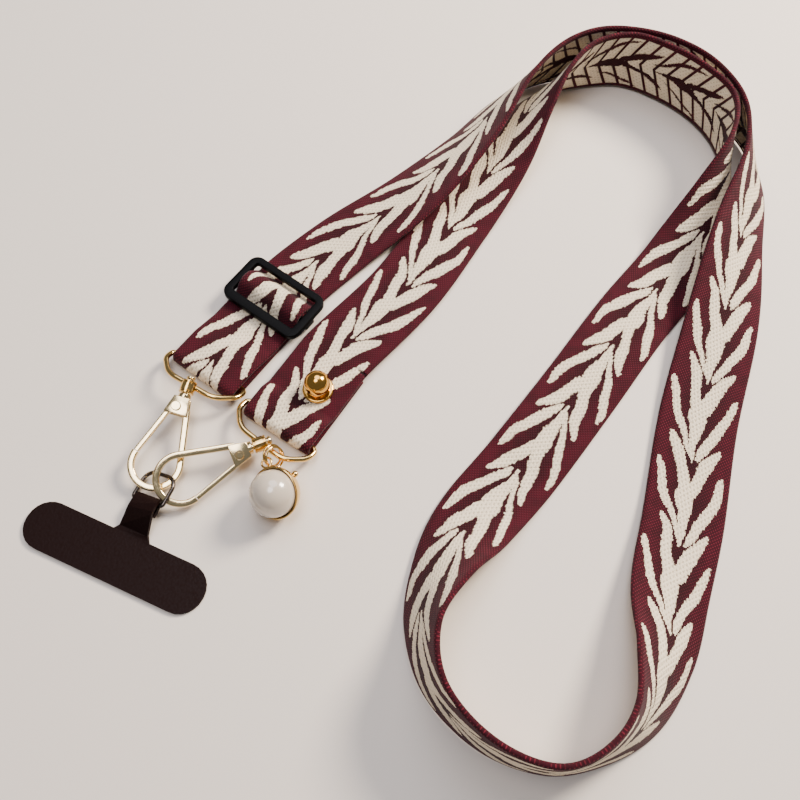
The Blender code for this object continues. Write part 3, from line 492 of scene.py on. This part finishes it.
def makeJacquard(name, isBack):
    # Polyester jacquard webbing: matt burgundy twill ground with soft raised cream floats
    yarn = {"Sheen Weight": 0.06, "Sheen Roughness": 0.5, "Specular IOR Level": 0.15}
    material, tree, shader = newMaterial(name, roughness=0.85, sockets=yarn)
    across, along = webbingCoordinates(tree)
    depth = strokeField(tree, *raggedPlace(tree, across, along))
    offCentre = addNode(tree, "Math", across, operation="ABSOLUTE")
    if isBack:
        # The back shows the pattern reversed, its long floats tied down between
        ties = wave(tree, along, offCentre, 0.45, pattern["tiePitch"])
        tied = addNode(tree, "MapRange", ties, 0.07, 0.15, 0.0, 1.0)
        belly = addNode(tree, "MapRange", ties, 0.06, 0.7, 0.0, 1.1 * pattern["puff"])
        reverse = addNode(tree, "MapRange", depth, 1.0, 0.75, 0.0, 1.0)
        band = pattern["backBand"]
        inBand = addNode(tree, "MapRange", offCentre, band + 0.15, band - 0.15, 0.0, 1.0)
        cream = addNode(tree, "Math", reverse, tied, operation="MULTIPLY")
        cream = addNode(tree, "Math", cream, inBand, operation="MULTIPLY")
        puff = addNode(tree, "Math", cream, belly, operation="MULTIPLY")
    else:
        cream = addNode(tree, "MapRange", depth, -0.03, 0.03, 0.0, 1.0)
        puff = addNode(tree, "MapRange", depth, -0.05, 0.9, 0.0, pattern["puff"])

    # Cream floats: leaning ribs with a shaded dimple wherever one dips under
    ribs = wave(tree, across, along, 0.28, pattern["ribPitch"])
    stitch = wave(tree, along, across, -0.9, pattern["stitchPitch"])
    dimple = addNode(tree, "Math", ribs, stitch, operation="MULTIPLY")
    shade = addNode(tree, "MapRange", dimple, 0.5, 0.95, 0.0, 1.0)
    light, dark = linearColour(pattern["cream"]), linearColour(pattern["creamShade"])
    creamTone = addNode(tree, "Mix", shade, light, dark, data_type="RGBA")

    # Ground: burgundy twill, browner and darker towards the middle, with a painted highlight as lighter
    # specks on the raised twill crowns
    twill = wave(tree, across, along, 0.8, pattern["twillPitch"])
    cross = wave(tree, across, along, -1.3, pattern["crossPitch"])
    grid = addNode(tree, "Math", twill, cross, operation="MULTIPLY")
    outer = addNode(tree, "MapRange", offCentre, 3.0, 9.0, 0.35, 1.0)
    place = addNode(tree, "CombineXYZ", across, along)
    patch = addNode(tree, "TexNoise", place, 0.25, 2.0, noise_dimensions="2D")
    patch = addNode(tree, "MapRange", patch, 0.3, 0.6, 0.6, 1.0)
    redness = addNode(tree, "Math", outer, patch, operation="MULTIPLY")
    light, dark = linearColour(pattern["burgundy"]), linearColour(pattern["maroon"])
    ground = addNode(tree, "Mix", redness, dark, light, data_type="RGBA")
    # Painted highlight: the lighter burgundy follows the twill's raised bump
    twillHighlight = addNode(tree, "MapRange", grid, 0.4, 0.9, 0.0, 0.8)
    twillHighlight = addNode(tree, "Math", twillHighlight, redness, operation="MULTIPLY")
    ground = addNode(tree, "Mix", twillHighlight, ground, linearColour(pattern["burgundyTwillHighlight"]), data_type="RGBA")
    colour = addNode(tree, "Mix", cream, ground, creamTone, data_type="RGBA")
    tree.links.new(colour, shader.inputs["Base Color"])

    weave = addNode(tree, "Math", dimple, -pattern["weave"], pattern["weave"], operation="MULTIPLY_ADD")
    relief = addNode(tree, "Math", weave, cream, puff, operation="MULTIPLY_ADD")
    relief = addNode(tree, "Math", grid, pattern["fine"], relief, operation="MULTIPLY_ADD")
    bump = addNode(tree, "Bump", 0.9, 1.0 * mm, None, relief)
    tree.links.new(bump, shader.inputs["Normal"])
    return material


# Hard materials: the grain is the size of one ripple or pebble, in real millimetres

finishes = {
    # Light gold plating on die-cast zinc: bright and nearly mirror smooth, with faint casting waves
    "hook": {"name": "plated_zinc_light_gold", "colour": "#f4dca8", "metallic": 1.0,
             "grain": 3.3 * mm, "relief": 0.02 * mm, "roughness": (0.10, 0.20)},
    # Deeper gold plating on drawn steel wire
    "wire": {"name": "plated_wire_gold", "colour": "#e6c17a", "metallic": 1.0,
             "grain": 2.5 * mm, "relief": 0.015 * mm, "roughness": (0.10, 0.18)},
    # Turned and polished brass, near to a mirror
    "stud": {"name": "polished_brass_stud", "colour": "#dca650", "metallic": 1.0,
             "grain": 2.9 * mm, "relief": 0.01 * mm, "roughness": (0.08, 0.15)},
    # Black nickel plating on wire: a dark, slightly soft shine
    "gunmetal": {"name": "black_nickel_wire", "colour": "#5a524c", "metallic": 1.0,
                 "grain": 2.5 * mm, "relief": 0.015 * mm, "roughness": (0.18, 0.30)},
    # Injection moulded ABS with a fine eroded texture: matt, with soft highlights on its edges
    "plastic": {"name": "moulded_abs_black", "colour": "#050506",
                "grain": 0.4 * mm, "relief": 0.03 * mm, "roughness": (0.38, 0.52),
                "sockets": {"IOR": 1.46, "Specular IOR Level": 0.08}},
    # Embossed PU leather: pebbled grain, drawn a little coarser than real, and a dull sheen
    "leather": {"name": "embossed_pu_leather", "colour": "#160705", "pebbled": True,
                "grain": 0.67 * mm, "relief": 0.12 * mm, "roughness": (0.50, 0.68),
                "sockets": {"IOR": 1.46, "Specular IOR Level": 0.12}},
    # Bead under pearl lacquer: a bright clear skin over a milky, softly glowing body
    "pearl": {"name": "lacquered_pearl", "colour": "#cfc1ae",
              "grain": 1.7 * mm, "relief": 0.003 * mm, "roughness": (0.16, 0.24),
              "sockets": {"IOR": 1.6, "Coat Weight": 1.0, "Coat Roughness": 0.04,
                          "Subsurface Weight": 0.12, "Subsurface Radius": (0.002, 0.0016, 0.0012)}},
}


def makeFinish(finish):
    material, tree, shader = newMaterial(finish["name"], finish["colour"],
                                         metallic=finish.get("metallic", 0.0), sockets=finish.get("sockets"))
    place = addNode(tree, "TexCoord", output="Object")
    scale = 1 / finish["grain"]
    if finish.get("pebbled"):
        grain = addNode(tree, "TexVoronoi", place, scale, feature="SMOOTH_F1")
    else:
        grain = addNode(tree, "TexNoise", place, scale, 3.0)
    rough = addNode(tree, "MapRange", grain, 0.3, 0.7, *finish["roughness"])
    tree.links.new(rough, shader.inputs["Roughness"])
    bump = addNode(tree, "Bump", 0.6, finish["relief"], None, grain)
    tree.links.new(bump, shader.inputs["Normal"])
    return material


# Ways of making the hard pieces; each adds to a bmesh, at a seat

def seatAt(place, x, z):
    # A seat's matrix from its place and two of its directions
    x = x.normalized()
    z = (z - x * z.dot(x)).normalized()
    turn = Matrix((x, z.cross(x), z)).transposed().to_4x4()
    return Matrix.Translation(place) @ turn


def addPart(bm, part, seat):
    # Moves a finished part to its seat, and into the piece's bmesh
    bmesh.ops.transform(part, matrix=seat, verts=part.verts)
    mesh = bpy.data.meshes.new("part")
    part.to_mesh(mesh)
    part.free()
    bm.from_mesh(mesh)
    bpy.data.meshes.remove(mesh)


def addCurve(name, points, closed):
    curve = bpy.data.curves.new(name, "CURVE")
    spline = curve.splines.new("POLY")
    spline.points.add(len(points) - 1)
    for item, point in zip(spline.points, points):
        item.co = (*Vector(point).to_3d(), 1.0)
    spline.use_cyclic_u = closed
    holder = bpy.data.objects.new(name, curve)
    bpy.context.scene.collection.objects.link(holder)
    return holder


def addBar(bm, points, seat, section, closed=False):
    # A bar bent along the points; its section is a radius, or a flat bar's (width, height, corner)
    holders = [addCurve("bar", points, closed)]
    curve = holders[0].data
    curve.dimensions = "3D"
    curve.twist_mode = "Z_UP"
    curve.use_fill_caps = not closed
    if isinstance(section, tuple):
        width, height, corner = section
        outline = roundedPath(boxCorners(height, width, corner), math.radians(22))
        holders.append(addCurve("section", [(point.y, point.x) for point in outline], True))
        curve.bevel_mode = "OBJECT"
        curve.bevel_object = holders[1]
    else:
        curve.bevel_depth = section
        curve.bevel_resolution = 6
    bpy.context.view_layer.update()
    drawn = holders[0].evaluated_get(bpy.context.evaluated_depsgraph_get())
    part = bmesh.new()
    part.from_mesh(bpy.data.meshes.new_from_object(drawn))
    for holder in holders:
        bpy.data.objects.remove(holder, do_unlink=True)
    addPart(bm, part, seat)


def boxCorners(width, depth, corner):
    x = width / 2
    y = depth / 2
    return [(x, y, corner), (-x, y, corner), (-x, -y, corner), (x, -y, corner)]


def addTurned(bm, profile, seat, steps=40):
    # Lathe work: (radius, height) pairs round the seat's Z
    part = bmesh.new()
    verts = [part.verts.new((radius, 0, height)) for radius, height in profile]
    edges = [part.edges.new(pair) for pair in zip(verts, verts[1:])]
    bmesh.ops.spin(part, geom=verts + edges, cent=(0, 0, 0), axis=(0, 0, 1), angle=2 * math.pi,
                   steps=steps, use_merge=True)
    bmesh.ops.remove_doubles(part, verts=part.verts, dist=tinyStep)
    addPart(bm, part, seat)


def addPlate(bm, outline, bottom, top, seat, bevel=0.0, hole=None):
    # A plate with an outline of points, perhaps with a hole of as many points, and rounded edges
    part = bmesh.new()
    loops = []
    for points in (outline, hole):
        if points:
            verts = [part.verts.new((point[0], point[1], bottom)) for point in points]
            loops.append([part.edges.new(pair) for pair in zip(verts, verts[1:] + verts[:1])])
    if hole:
        faces = bmesh.ops.bridge_loops(part, edges=loops[0] + loops[1])["faces"]
    else:
        faces = bmesh.ops.contextual_create(part, geom=loops[0])["faces"]
    raised = bmesh.ops.extrude_face_region(part, geom=faces)
    verts = [item for item in raised["geom"] if isinstance(item, bmesh.types.BMVert)]
    bmesh.ops.translate(part, verts=verts, vec=(0, 0, top - bottom))
    bmesh.ops.recalc_face_normals(part, faces=part.faces)
    if bevel:
        sharp = [edge for edge in part.edges if edge.is_manifold and edge.calc_face_angle() > cornerTurn]
        bmesh.ops.bevel(part, geom=sharp, offset=bevel, offset_type="OFFSET", affect="EDGES",
                        segments=3, profile=0.5, material=-1)
    addPart(bm, part, seat)


def domed(radius, low, high, rounding, steps=5):
    # A short rod's profile from low to high, with both ends rounded over
    profile = [(0.0, low)]
    for end, sign in ((low, -1), (high, 1)):
        arc = []
        for step in range(steps + 1):
            angle = math.pi / 2 * step / steps
            height = end - sign * rounding * (1 - math.cos(angle))
            arc.append((radius - rounding + rounding * math.sin(angle), height))
        profile += arc if sign < 0 else arc[::-1]
    return profile + [(0.0, high)]


alongX = Matrix.Rotation(math.pi / 2, 4, "Y")      # turns lathe work's Z onto a seat's X


# Ring of the phone tab; X runs along its bar and Y towards the hooks

tabRing = {"heading": math.radians(-22), "roll": math.radians(20), "barHeight": 3.673 * mm,
           "bar": 12.0 * mm, "depth": 9.2 * mm, "corner": 3.6 * mm, "wire": 0.65 * mm}


def tabRingSeat():
    level = headed(tabRing["heading"])
    x = level * math.cos(tabRing["roll"]) + up * math.sin(tabRing["roll"])
    place = Vector((*webbing["hitch"], tabRing["barHeight"] + webbing["lift"]))
    return seatAt(place, x, x.cross(up.cross(level)))


def makeTabRing(material):
    t = tabRing
    half = t["bar"] / 2
    corners = [(-half, 0, t["corner"] / 4), (half, 0, t["corner"] / 4), (half, t["depth"], t["corner"]),
               (-half, t["depth"], t["corner"])]
    bm = bmesh.new()
    addBar(bm, roundedPath(corners, math.radians(8)), tabRingSeat(), t["wire"], closed=True)
    finishMesh(bm, "dark_wire_ring", material, "strap", "tab_ring")


# Snap hooks, die cast, with X along the hook from the swivel and Y towards the gate

hook = {
    # each hook's bow holds the tab ring at its grip, a place on the ring from the middle of its bar
    "laid": {
        1: {"heading": math.radians(-107), "roll": math.radians(-6), "grip": (-3.1 * mm, 3.6 * mm),
            "bowHeight": 4.0 * mm, "barrelHeight": 8.0 * mm, "turnedOver": True},
        2: {"heading": math.radians(-152), "roll": math.radians(-20), "grip": (1.8 * mm, 4.2 * mm),
            "bowHeight": 5.8 * mm, "barrelHeight": 5.8 * mm, "turnedOver": False},
    },
    "reach": 25.6 * mm, "bowRadius": 7.4 * mm, "bowOffset": 1.3 * mm,
    "bar": (2.1 * mm, 1.9 * mm, 0.5 * mm),
    "blockStart": 3.6 * mm, "blockLength": 5.8 * mm, "blockTop": 4.8 * mm, "blockEnd": 7.6 * mm,
    "blockThickness": 4.0 * mm, "blockShift": 0.6 * mm, "blockBevel": 0.3 * mm,
    "barInset": 2.9 * mm, "post": 1.1 * mm, "knob": 1.5 * mm, "knobLength": 1.2 * mm, "collar": 2.0 * mm,
    "postRounding": 0.1 * mm, "knobRounding": 0.7 * mm, "collarRounding": 0.25 * mm,
    "barrelHalf": 2.2 * mm, "gap": 0.3 * mm,
    "rivet": (7.0 * mm, 1.0 * mm), "rivetHead": 1.5 * mm, "rivetRise": 0.4 * mm, "rivetShank": 0.8 * mm,
    "rivetDish": (0.5 * mm, 0.65 * mm),     # the head's rim, and where its sunk middle starts
    "gateThickness": 1.6 * mm, "gateEye": 1.9 * mm, "gateEase": 0.15 * mm, "gateCorner": 0.35 * mm,
}


def hookSeat(number):
    # The bow lies over its grip on the ring, and the origin in the swivel barrel
    h, laid = hook, hook["laid"][number]
    along = headed(laid["heading"])
    bow = tabRingSeat() @ Vector((*laid["grip"], 0)) - along * h["bowRadius"]
    barrel = bow - along * math.hypot(h["reach"], h["bowOffset"])
    bow.z = laid["bowHeight"] + webbing["lift"]
    barrel.z = laid["barrelHeight"] + webbing["lift"]
    side = -1 if laid["turnedOver"] else 1
    line = bow - barrel
    line.rotate(Matrix.Rotation(-side * math.atan2(h["bowOffset"], h["reach"]), 3, "Z"))
    y = up.cross(line).normalized() * side
    y.rotate(Matrix.Rotation(laid["roll"], 3, line))
    return seatAt(barrel, line, line.cross(y))


def bowTangent(side):
    across = hook["blockShift"] + side * hook["barInset"]
    start = Vector((hook["blockStart"] + hook["blockLength"], across))
    line = start - Vector((hook["reach"], hook["bowOffset"]))
    turn = math.acos(hook["bowRadius"] / line.length)
    return start, math.atan2(line.y, line.x) - side * turn


def bowPoint(angle):
    return Vector((hook["reach"] + hook["bowRadius"] * math.cos(angle),
                   hook["bowOffset"] + hook["bowRadius"] * math.sin(angle)))


def makeHook(number, material):
    h = hook
    seat = hookSeat(number)
    bm = bmesh.new()
    start, armAngle = bowTangent(-1)
    gateStart, gateAngle = bowTangent(1)
    armAngle = armAngle % (2 * math.pi) - 2 * math.pi
    bowEnd = gateAngle - h["gap"] / h["bowRadius"]
    path = [Vector((start.x - h["blockLength"] / 3, start.y))]
    path += [bowPoint(armAngle + (bowEnd - armAngle) * step / 36) for step in range(37)]
    addBar(bm, path, seat, h["bar"])
    half = h["blockThickness"] / 2
    slotHalf = h["gateThickness"] / 2 + h["gap"]
    blockEnd = h["blockStart"] + h["blockLength"]
    low, high = h["blockShift"] / 2 - h["blockTop"] / 2, h["blockShift"] / 2 + h["blockTop"] / 2
    lowEnd, highEnd = h["blockShift"] - h["blockEnd"] / 2, h["blockShift"] + h["blockEnd"] / 2
    cheek = [(h["blockStart"], low), (blockEnd, lowEnd), (blockEnd, highEnd), (h["blockStart"], high)]
    addPlate(bm, cheek, slotHalf, half, seat, h["blockBevel"])
    addPlate(bm, cheek, -half, -slotHalf, seat, h["blockBevel"])
    slotStart = h["rivet"][0] - h["gateEye"] - h["gap"]
    slotFloor = h["rivet"][1] - h["gateEye"] - h["gap"]
    inset = h["blockBevel"]
    web = [(h["blockStart"] + inset, low + inset), (blockEnd - inset, lowEnd + inset),
           (blockEnd - inset, slotFloor), (slotStart, slotFloor), (slotStart, high - inset / 2),
           (h["blockStart"] + inset, high - inset)]
    addPlate(bm, web, -slotHalf - inset, slotHalf + inset, seat)
    knob = -h["barrelHalf"] - h["gap"]
    root = h["blockStart"] + h["gap"]
    addTurned(bm, domed(h["post"], knob - h["gap"], root, h["postRounding"]), seat @ alongX)
    addTurned(bm, domed(h["knob"], knob - h["knobLength"], knob, h["knobRounding"]), seat @ alongX)
    collar = h["barrelHalf"] + h["gap"]
    addTurned(bm, domed(h["collar"], collar, root, h["collarRounding"]), seat @ alongX)
    finishMesh(bm, f"hook_casting_{number}", material, "strap", f"hook_{number}")

    bm = bmesh.new()
    head = half + h["gap"]
    rivetSeat = seat @ Matrix.Translation((*h["rivet"], 0))
    rim, rise, shank = h["rivetHead"], h["rivetRise"], h["rivetShank"]
    edge, dish = h["rivetDish"]
    profile = [(0, -head - rise), (rim - rise / 2, -head - rise), (rim, -head - rise / 2), (rim, -head),
               (shank, -head), (shank, head), (rim, head), (rim, head + rise / 2),
               (rim - rise / 2, head + rise), (rim - edge, head + rise), (rim - dish, head + rise / 2),
               (0, head + rise / 2)]
    addTurned(bm, profile, rivetSeat, 28)
    finishMesh(bm, f"hook_rivet_{number}", material, "strap", f"gate_rivet_{number}")

    bm = bmesh.new()
    pivot = Vector(h["rivet"])
    knee = Vector((gateStart.x - h["gap"], gateStart.y))
    tip = bowPoint(gateAngle)
    thick = h["gateThickness"]
    lever = roundedPath([(*pivot, 0), (*knee, thick / 2), (*tip, 0)], math.radians(10))
    addBar(bm, lever, seat, (thick, thick, h["gateCorner"]))
    outer, inner, ease = h["gateEye"], shank + h["gap"], h["gateEase"]
    eye = [(inner, -thick / 2), (outer - ease, -thick / 2), (outer, -thick / 2 + ease),
           (outer, thick / 2 - ease), (outer - ease, thick / 2), (inner, thick / 2), (inner, -thick / 2)]
    addTurned(bm, eye, rivetSeat, 28)
    finishMesh(bm, f"gate_lever_piece_{number}", material, f"gate_lever_{number}", f"gate_{number}")


# D-rings, with the ribbed swivel barrel brazed to each bow; X runs from the bar to the barrel

dRing = {
    "headings": {1: math.radians(-118.5), 2: math.radians(-126)}, "barHeight": 2.8 * mm,
    "wire": 0.9 * mm, "depth": 9.6 * mm, "play": 0.7 * mm, "foot": 1.5 * mm, "knee": 4.3 * mm,
    "kneeCorner": 4.5 * mm, "bowCorner": 7.2 * mm, "bowShare": 0.62,
    "barrel": 2.4 * mm, "barrelLength": 4.4 * mm, "barrelEdge": 0.3 * mm,
    "groove": 0.22 * mm, "groovePlace": 1.41 * mm, "grooveTop": 0.25 * mm, "grooveFloor": 0.1 * mm,
}


def dRingSeat(number):
    barrel = hookSeat(number).translation
    bar = barrel - headed(dRing["headings"][number]) * dRing["depth"]
    bar.z = dRing["barHeight"] + webbing["lift"]
    return seatAt(bar, barrel - bar, up)


def makeDRing(number, material):
    d = dRing
    half = webbing["width"] / 2 + d["play"] + d["wire"]
    bow = half * d["bowShare"]
    corners = [(0, -half, d["foot"]), (0, half, d["foot"]), (d["knee"], half, d["kneeCorner"]),
               (d["depth"], bow, d["bowCorner"]), (d["depth"], -bow, d["bowCorner"]),
               (d["knee"], -half, d["kneeCorner"])]
    bm = bmesh.new()
    addBar(bm, roundedPath(corners, math.radians(6)), dRingSeat(number), d["wire"], closed=True)
    reach = d["barrelLength"] / 2
    bore = hook["post"] + hook["gap"]
    outer, edge = d["barrel"], d["barrelEdge"]
    profile = [(bore, -reach), (outer - edge, -reach), (outer, -reach + edge)]
    for middle in (-d["groovePlace"], d["groovePlace"]):
        profile += [(outer, middle - d["grooveTop"]), (outer - d["groove"], middle - d["grooveFloor"]),
                    (outer - d["groove"], middle + d["grooveFloor"]), (outer, middle + d["grooveTop"])]
    profile += [(outer, reach - edge), (outer - edge, reach), (bore, reach), (bore, -reach)]
    addTurned(bm, profile, hookSeat(number) @ alongX)
    finishMesh(bm, f"wire_d_ring_{number}", material, "strap", f"d_ring_{number}")


# Ball stud through the turned end

stud = {"reach": 17.0 * mm, "offset": 2.6 * mm, "ball": 4.2 * mm, "rise": 3.4 * mm, "neck": 2.6 * mm,
        "collar": 5.0 * mm, "collarHeight": 0.9 * mm, "collarRounding": 0.5 * mm,
        "layers": 3.8 * mm, "shank": 1.4 * mm, "shankEnd": 0.3 * mm}


def makeStud(material):
    g = stud
    top = g["layers"] + g["collarHeight"]
    profile = [(0, g["shankEnd"]), (g["shank"], g["shankEnd"]), (g["shank"], g["layers"]),
               (g["collar"], g["layers"])]
    for step in range(7):
        angle = math.pi / 2 * step / 6
        profile.append((g["collar"] - g["collarRounding"] * (1 - math.cos(angle)),
                        top - g["collarRounding"] * (1 - math.sin(angle))))
    first = math.asin(g["neck"] / g["ball"])
    for step in range(33):
        angle = first + (math.pi - first) * step / 32
        profile.append((g["ball"] * math.sin(angle), top + g["rise"] - g["ball"] * math.cos(angle)))
    bm = bmesh.new()
    place, along, left = webbingEnd(1)
    foot = place + along * g["reach"] - left * g["offset"] + up * webbing["lift"]
    addTurned(bm, profile, seatAt(foot, along, up), 64)
    finishMesh(bm, "ball_stud", material, "strap", "rivet_stud")


# Pearl drop on its two jump rings

drop = {"pearl": 7.2 * mm, "heading": math.radians(-73), "wall": 0.6 * mm, "cupReach": math.radians(84),
        "cupAxis": (0.42, 0.44, -0.79), "rim": 0.3 * mm, "knuckle": 1.0 * mm,
        "hangEye": 2.4 * mm, "eye": 1.6 * mm, "wire": 0.38 * mm, "jump": 3.2 * mm, "jumpPitch": 0.95 * mm,
        "jumpPlace": 6.0 * mm, "hang": 1.0 * mm, "tilt": math.radians(45)}


def ringPoints(radius, steps=48):
    return [headed(2 * math.pi * step / steps) * radius for step in range(steps)]


def makeDrop(pearlMaterial, material):
    # The bead lies on the table in its cup, whose eye hangs on two jump rings round the D-ring's bow
    p = drop
    hollow = p["pearl"] + hook["gap"]
    shell = hollow + p["wall"]
    dSeat = dRingSeat(2)
    hang = Vector((dRing["depth"] + p["hang"], p["jumpPlace"], 0))
    eye = dSeat @ (hang + Vector((p["jump"], 0, 0)))
    height = shell + webbing["lift"]
    away = math.sqrt((shell + p["hangEye"]) ** 2 - (height - eye.z) ** 2)
    centre = eye + headed(p["heading"]) * away
    centre.z = height
    bm = bmesh.new()
    bmesh.ops.create_uvsphere(bm, u_segments=64, v_segments=40, radius=p["pearl"])
    bmesh.ops.translate(bm, verts=bm.verts, vec=centre)
    finishMesh(bm, "pearl_bead", pearlMaterial, "strap", "pearl")

    outer = []
    inner = []
    for step in range(25):
        angle = p["cupReach"] * step / 24
        outer.append((shell * math.sin(angle), shell * math.cos(angle)))
        inner.append((hollow * math.sin(angle), hollow * math.cos(angle)))
    middle = (shell + hollow) / 2
    rimX, rimZ = middle * math.sin(p["cupReach"]), middle * math.cos(p["cupReach"])
    rim = [(rimX + p["rim"] * math.cos(angle), rimZ - p["rim"] * math.sin(angle))
           for angle in (0.5, 1.2, 1.9, 2.6)]
    bm = bmesh.new()
    cupSeat = Matrix.Translation(centre) @ Vector(p["cupAxis"]).to_track_quat("Z", "Y").to_matrix().to_4x4()
    addTurned(bm, outer + rim + inner[::-1], cupSeat, 64)
    inward = (centre - eye).normalized()
    across = dSeat.to_3x3() @ Vector((0, -math.sin(p["tilt"]), math.cos(p["tilt"])))
    eyeSeat = seatAt(eye, inward, across)
    addBar(bm, ringPoints(p["eye"], 32), eyeSeat, p["wire"], closed=True)
    side = Vector((p["cupAxis"][0], p["cupAxis"][1], 0)).normalized() * (shell + p["wall"])
    knuckle = bmesh.ops.create_uvsphere(bm, u_segments=20, v_segments=12, radius=p["knuckle"])["verts"]
    bmesh.ops.translate(bm, verts=knuckle, vec=centre + side)
    finishMesh(bm, "bead_cup", material, "strap", "pearl_cup")

    upright = Matrix.Rotation(p["tilt"] - math.pi / 2, 4, "X")
    for number, sign in ((1, -1), (2, 1)):
        bm = bmesh.new()
        place = hang + Vector((0, sign * p["jumpPitch"] / 2, 0))
        seat = dSeat @ Matrix.Translation(place) @ upright
        addBar(bm, ringPoints(p["jump"]), seat, p["wire"], closed=True)
        finishMesh(bm, f"split_ring_{number}", material, "strap", f"jump_ring_{number}")


# Slider: a moulded frame with two lugs that carry its core bar

slider = {"depth": 18.8 * mm, "barNear": 3.4 * mm, "barFar": 2.6 * mm, "barEnd": 2.8 * mm,
          "thickness": 2.2 * mm, "corner": 3.5 * mm, "windowCorner": 0.8 * mm, "bevel": 0.35 * mm,
          "lugLength": 4.0 * mm, "lugBevel": 0.3 * mm, "coreRounding": 0.1 * mm,
          "bottom": 3.8 * mm, "core": 1.0 * mm, "coreHeight": 2.9 * mm}


def makeSlider(material):
    g = slider
    place, along, left = webbingEnd(0)
    seat = seatAt(place + along * webbing["sliderReach"] + up * webbing["lift"], along, up)
    inner = webbing["width"] + 2 * webbing["gap"]
    outline = roundedPath(boxCorners(g["depth"], inner + 2 * g["barEnd"], g["corner"]), math.radians(10))
    window = boxCorners(g["depth"] - g["barNear"] - g["barFar"], inner, g["windowCorner"])
    shift = (g["barNear"] - g["barFar"]) / 2
    hole = [Vector((point.x + shift, point.y)) for point in roundedPath(window, math.radians(10))]
    bm = bmesh.new()
    top = g["bottom"] + g["thickness"]
    addPlate(bm, outline, g["bottom"], top, seat, g["bevel"], hole)
    for sign in (-1, 1):
        middle = sign * (inner + g["barEnd"]) / 2
        lug = [(x, middle + y) for x, y, corner in boxCorners(g["lugLength"], g["barEnd"] - g["bevel"], 0)]
        foot = g["coreHeight"] - g["core"] - g["lugBevel"]
        addPlate(bm, lug, foot, top - g["bevel"], seat, g["lugBevel"])
    reach = inner / 2 + g["barEnd"] / 2
    core = domed(g["core"], -reach, reach, g["coreRounding"])
    sideways = Matrix.Translation((0, 0, g["coreHeight"])) @ Matrix.Rotation(-math.pi / 2, 4, "X")
    addTurned(bm, core, seat @ sideways, 20)
    finishMesh(bm, "moulded_slider", material, "strap", "slider")


# Tab: the stamped solid's shape is right, so it is only softened along its edges

tab = {"merge": 0.01 * mm, "flat": math.radians(1), "rounding": 0.22 * mm, "roundedFrom": math.radians(40)}


def makeTab(material):
    bm = bmesh.new()
    bm.from_mesh(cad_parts["phone_tab"].data)
    bmesh.ops.remove_doubles(bm, verts=bm.verts, dist=tab["merge"])
    bmesh.ops.dissolve_limit(bm, angle_limit=tab["flat"], verts=bm.verts, edges=bm.edges)
    piece = finishMesh(bm, "leather_tab", material, "strap", "phone_tab")
    rounding = piece.modifiers.new("rounding", "BEVEL")
    rounding.width = tab["rounding"]
    rounding.segments = 2
    rounding.limit_method = "ANGLE"
    rounding.angle_limit = tab["roundedFrom"]


# Floor, light and camera

studio = {
    "floor": "#e9dfd3",
    "floorSize": 3.0,
    "lens": 36.6,
    "cameraPlace": (-9.2 * mm, -122.9 * mm, 240 * mm),
    "cameraTilt": math.radians(24.0),
    "cameraRoll": math.radians(1.9),
    "world": "#c9cbd2",
    "worldStrength": 0.30,
    # place, aim, size and power of each softbox
    "softboxes": (
        ((0.55, 0.40, 0.55), (0.0, 0.0, 0.0), 0.28, 17.0, "#fff1e2"),
        ((0.02, 0.52, 0.95), (0.0, 0.0, 0.0), 0.75, 6.5, "#f6f5ff"),
        ((-0.17, -0.04, 1.10), (-0.07, -0.04, 0.0), 0.50, 5.0, "#fbf8ff"),
    ),
}


def makeStudio():
    bm = bmesh.new()
    bmesh.ops.create_grid(bm, x_segments=1, y_segments=1, size=studio["floorSize"])
    mesh = bpy.data.meshes.new("floor")
    bm.to_mesh(mesh)
    bm.free()
    floor = bpy.data.objects.new("floor", mesh)
    bpy.context.scene.collection.objects.link(floor)
    # Matt painted board
    material, tree, shader = newMaterial("matt_board", studio["floor"], roughness=0.7)
    mesh.materials.append(material)
    world = bpy.data.worlds.new("studio")
    world.use_nodes = True
    sky = world.node_tree.nodes["Background"]
    sky.inputs[0].default_value = linearColour(studio["world"])
    sky.inputs[1].default_value = studio["worldStrength"]
    bpy.context.scene.world = world
    for index, (place, aim, size, power, tint) in enumerate(studio["softboxes"]):
        light = bpy.data.lights.new(f"softbox_{index}", "AREA")
        light.shape = "DISK"
        light.size = size
        light.energy = power
        light.color = linearColour(tint)[:3]
        holder = bpy.data.objects.new(f"softbox_{index}", light)
        bpy.context.scene.collection.objects.link(holder)
        holder.location = place
        holder.rotation_euler = (Vector(aim) - Vector(place)).to_track_quat("-Z", "Y").to_euler()
    camera = bpy.data.cameras.new("camera")
    camera.lens = studio["lens"]
    camera.sensor_width = 36.0
    camera.clip_start = 0.01
    holder = bpy.data.objects.new("camera", camera)
    bpy.context.scene.collection.objects.link(holder)
    tilt, roll = studio["cameraTilt"], studio["cameraRoll"]
    level = Vector((1, 0, 0))
    upright = Vector((0, math.cos(tilt), math.sin(tilt)))
    right = level * math.cos(roll) + upright * math.sin(roll)
    pictureUp = upright * math.cos(roll) - level * math.sin(roll)
    holder.matrix_world = seatAt(Vector(studio["cameraPlace"]), right, right.cross(pictureUp))
    bpy.context.scene.camera = holder


print("studio")
makeStudio()
print("webbing")
makeWebbing(makeJacquard("jacquard_webbing_front", False), makeJacquard("jacquard_webbing_back", True))
print("hardware")
hard = {name: makeFinish(finish) for name, finish in finishes.items()}
for number in (1, 2):
    makeHook(number, hard["hook"])
    makeDRing(number, hard["wire"])
makeStud(hard["stud"])
makeDrop(hard["pearl"], hard["wire"])
makeTabRing(hard["gunmetal"])
makeSlider(hard["plastic"])
makeTab(hard["leather"])
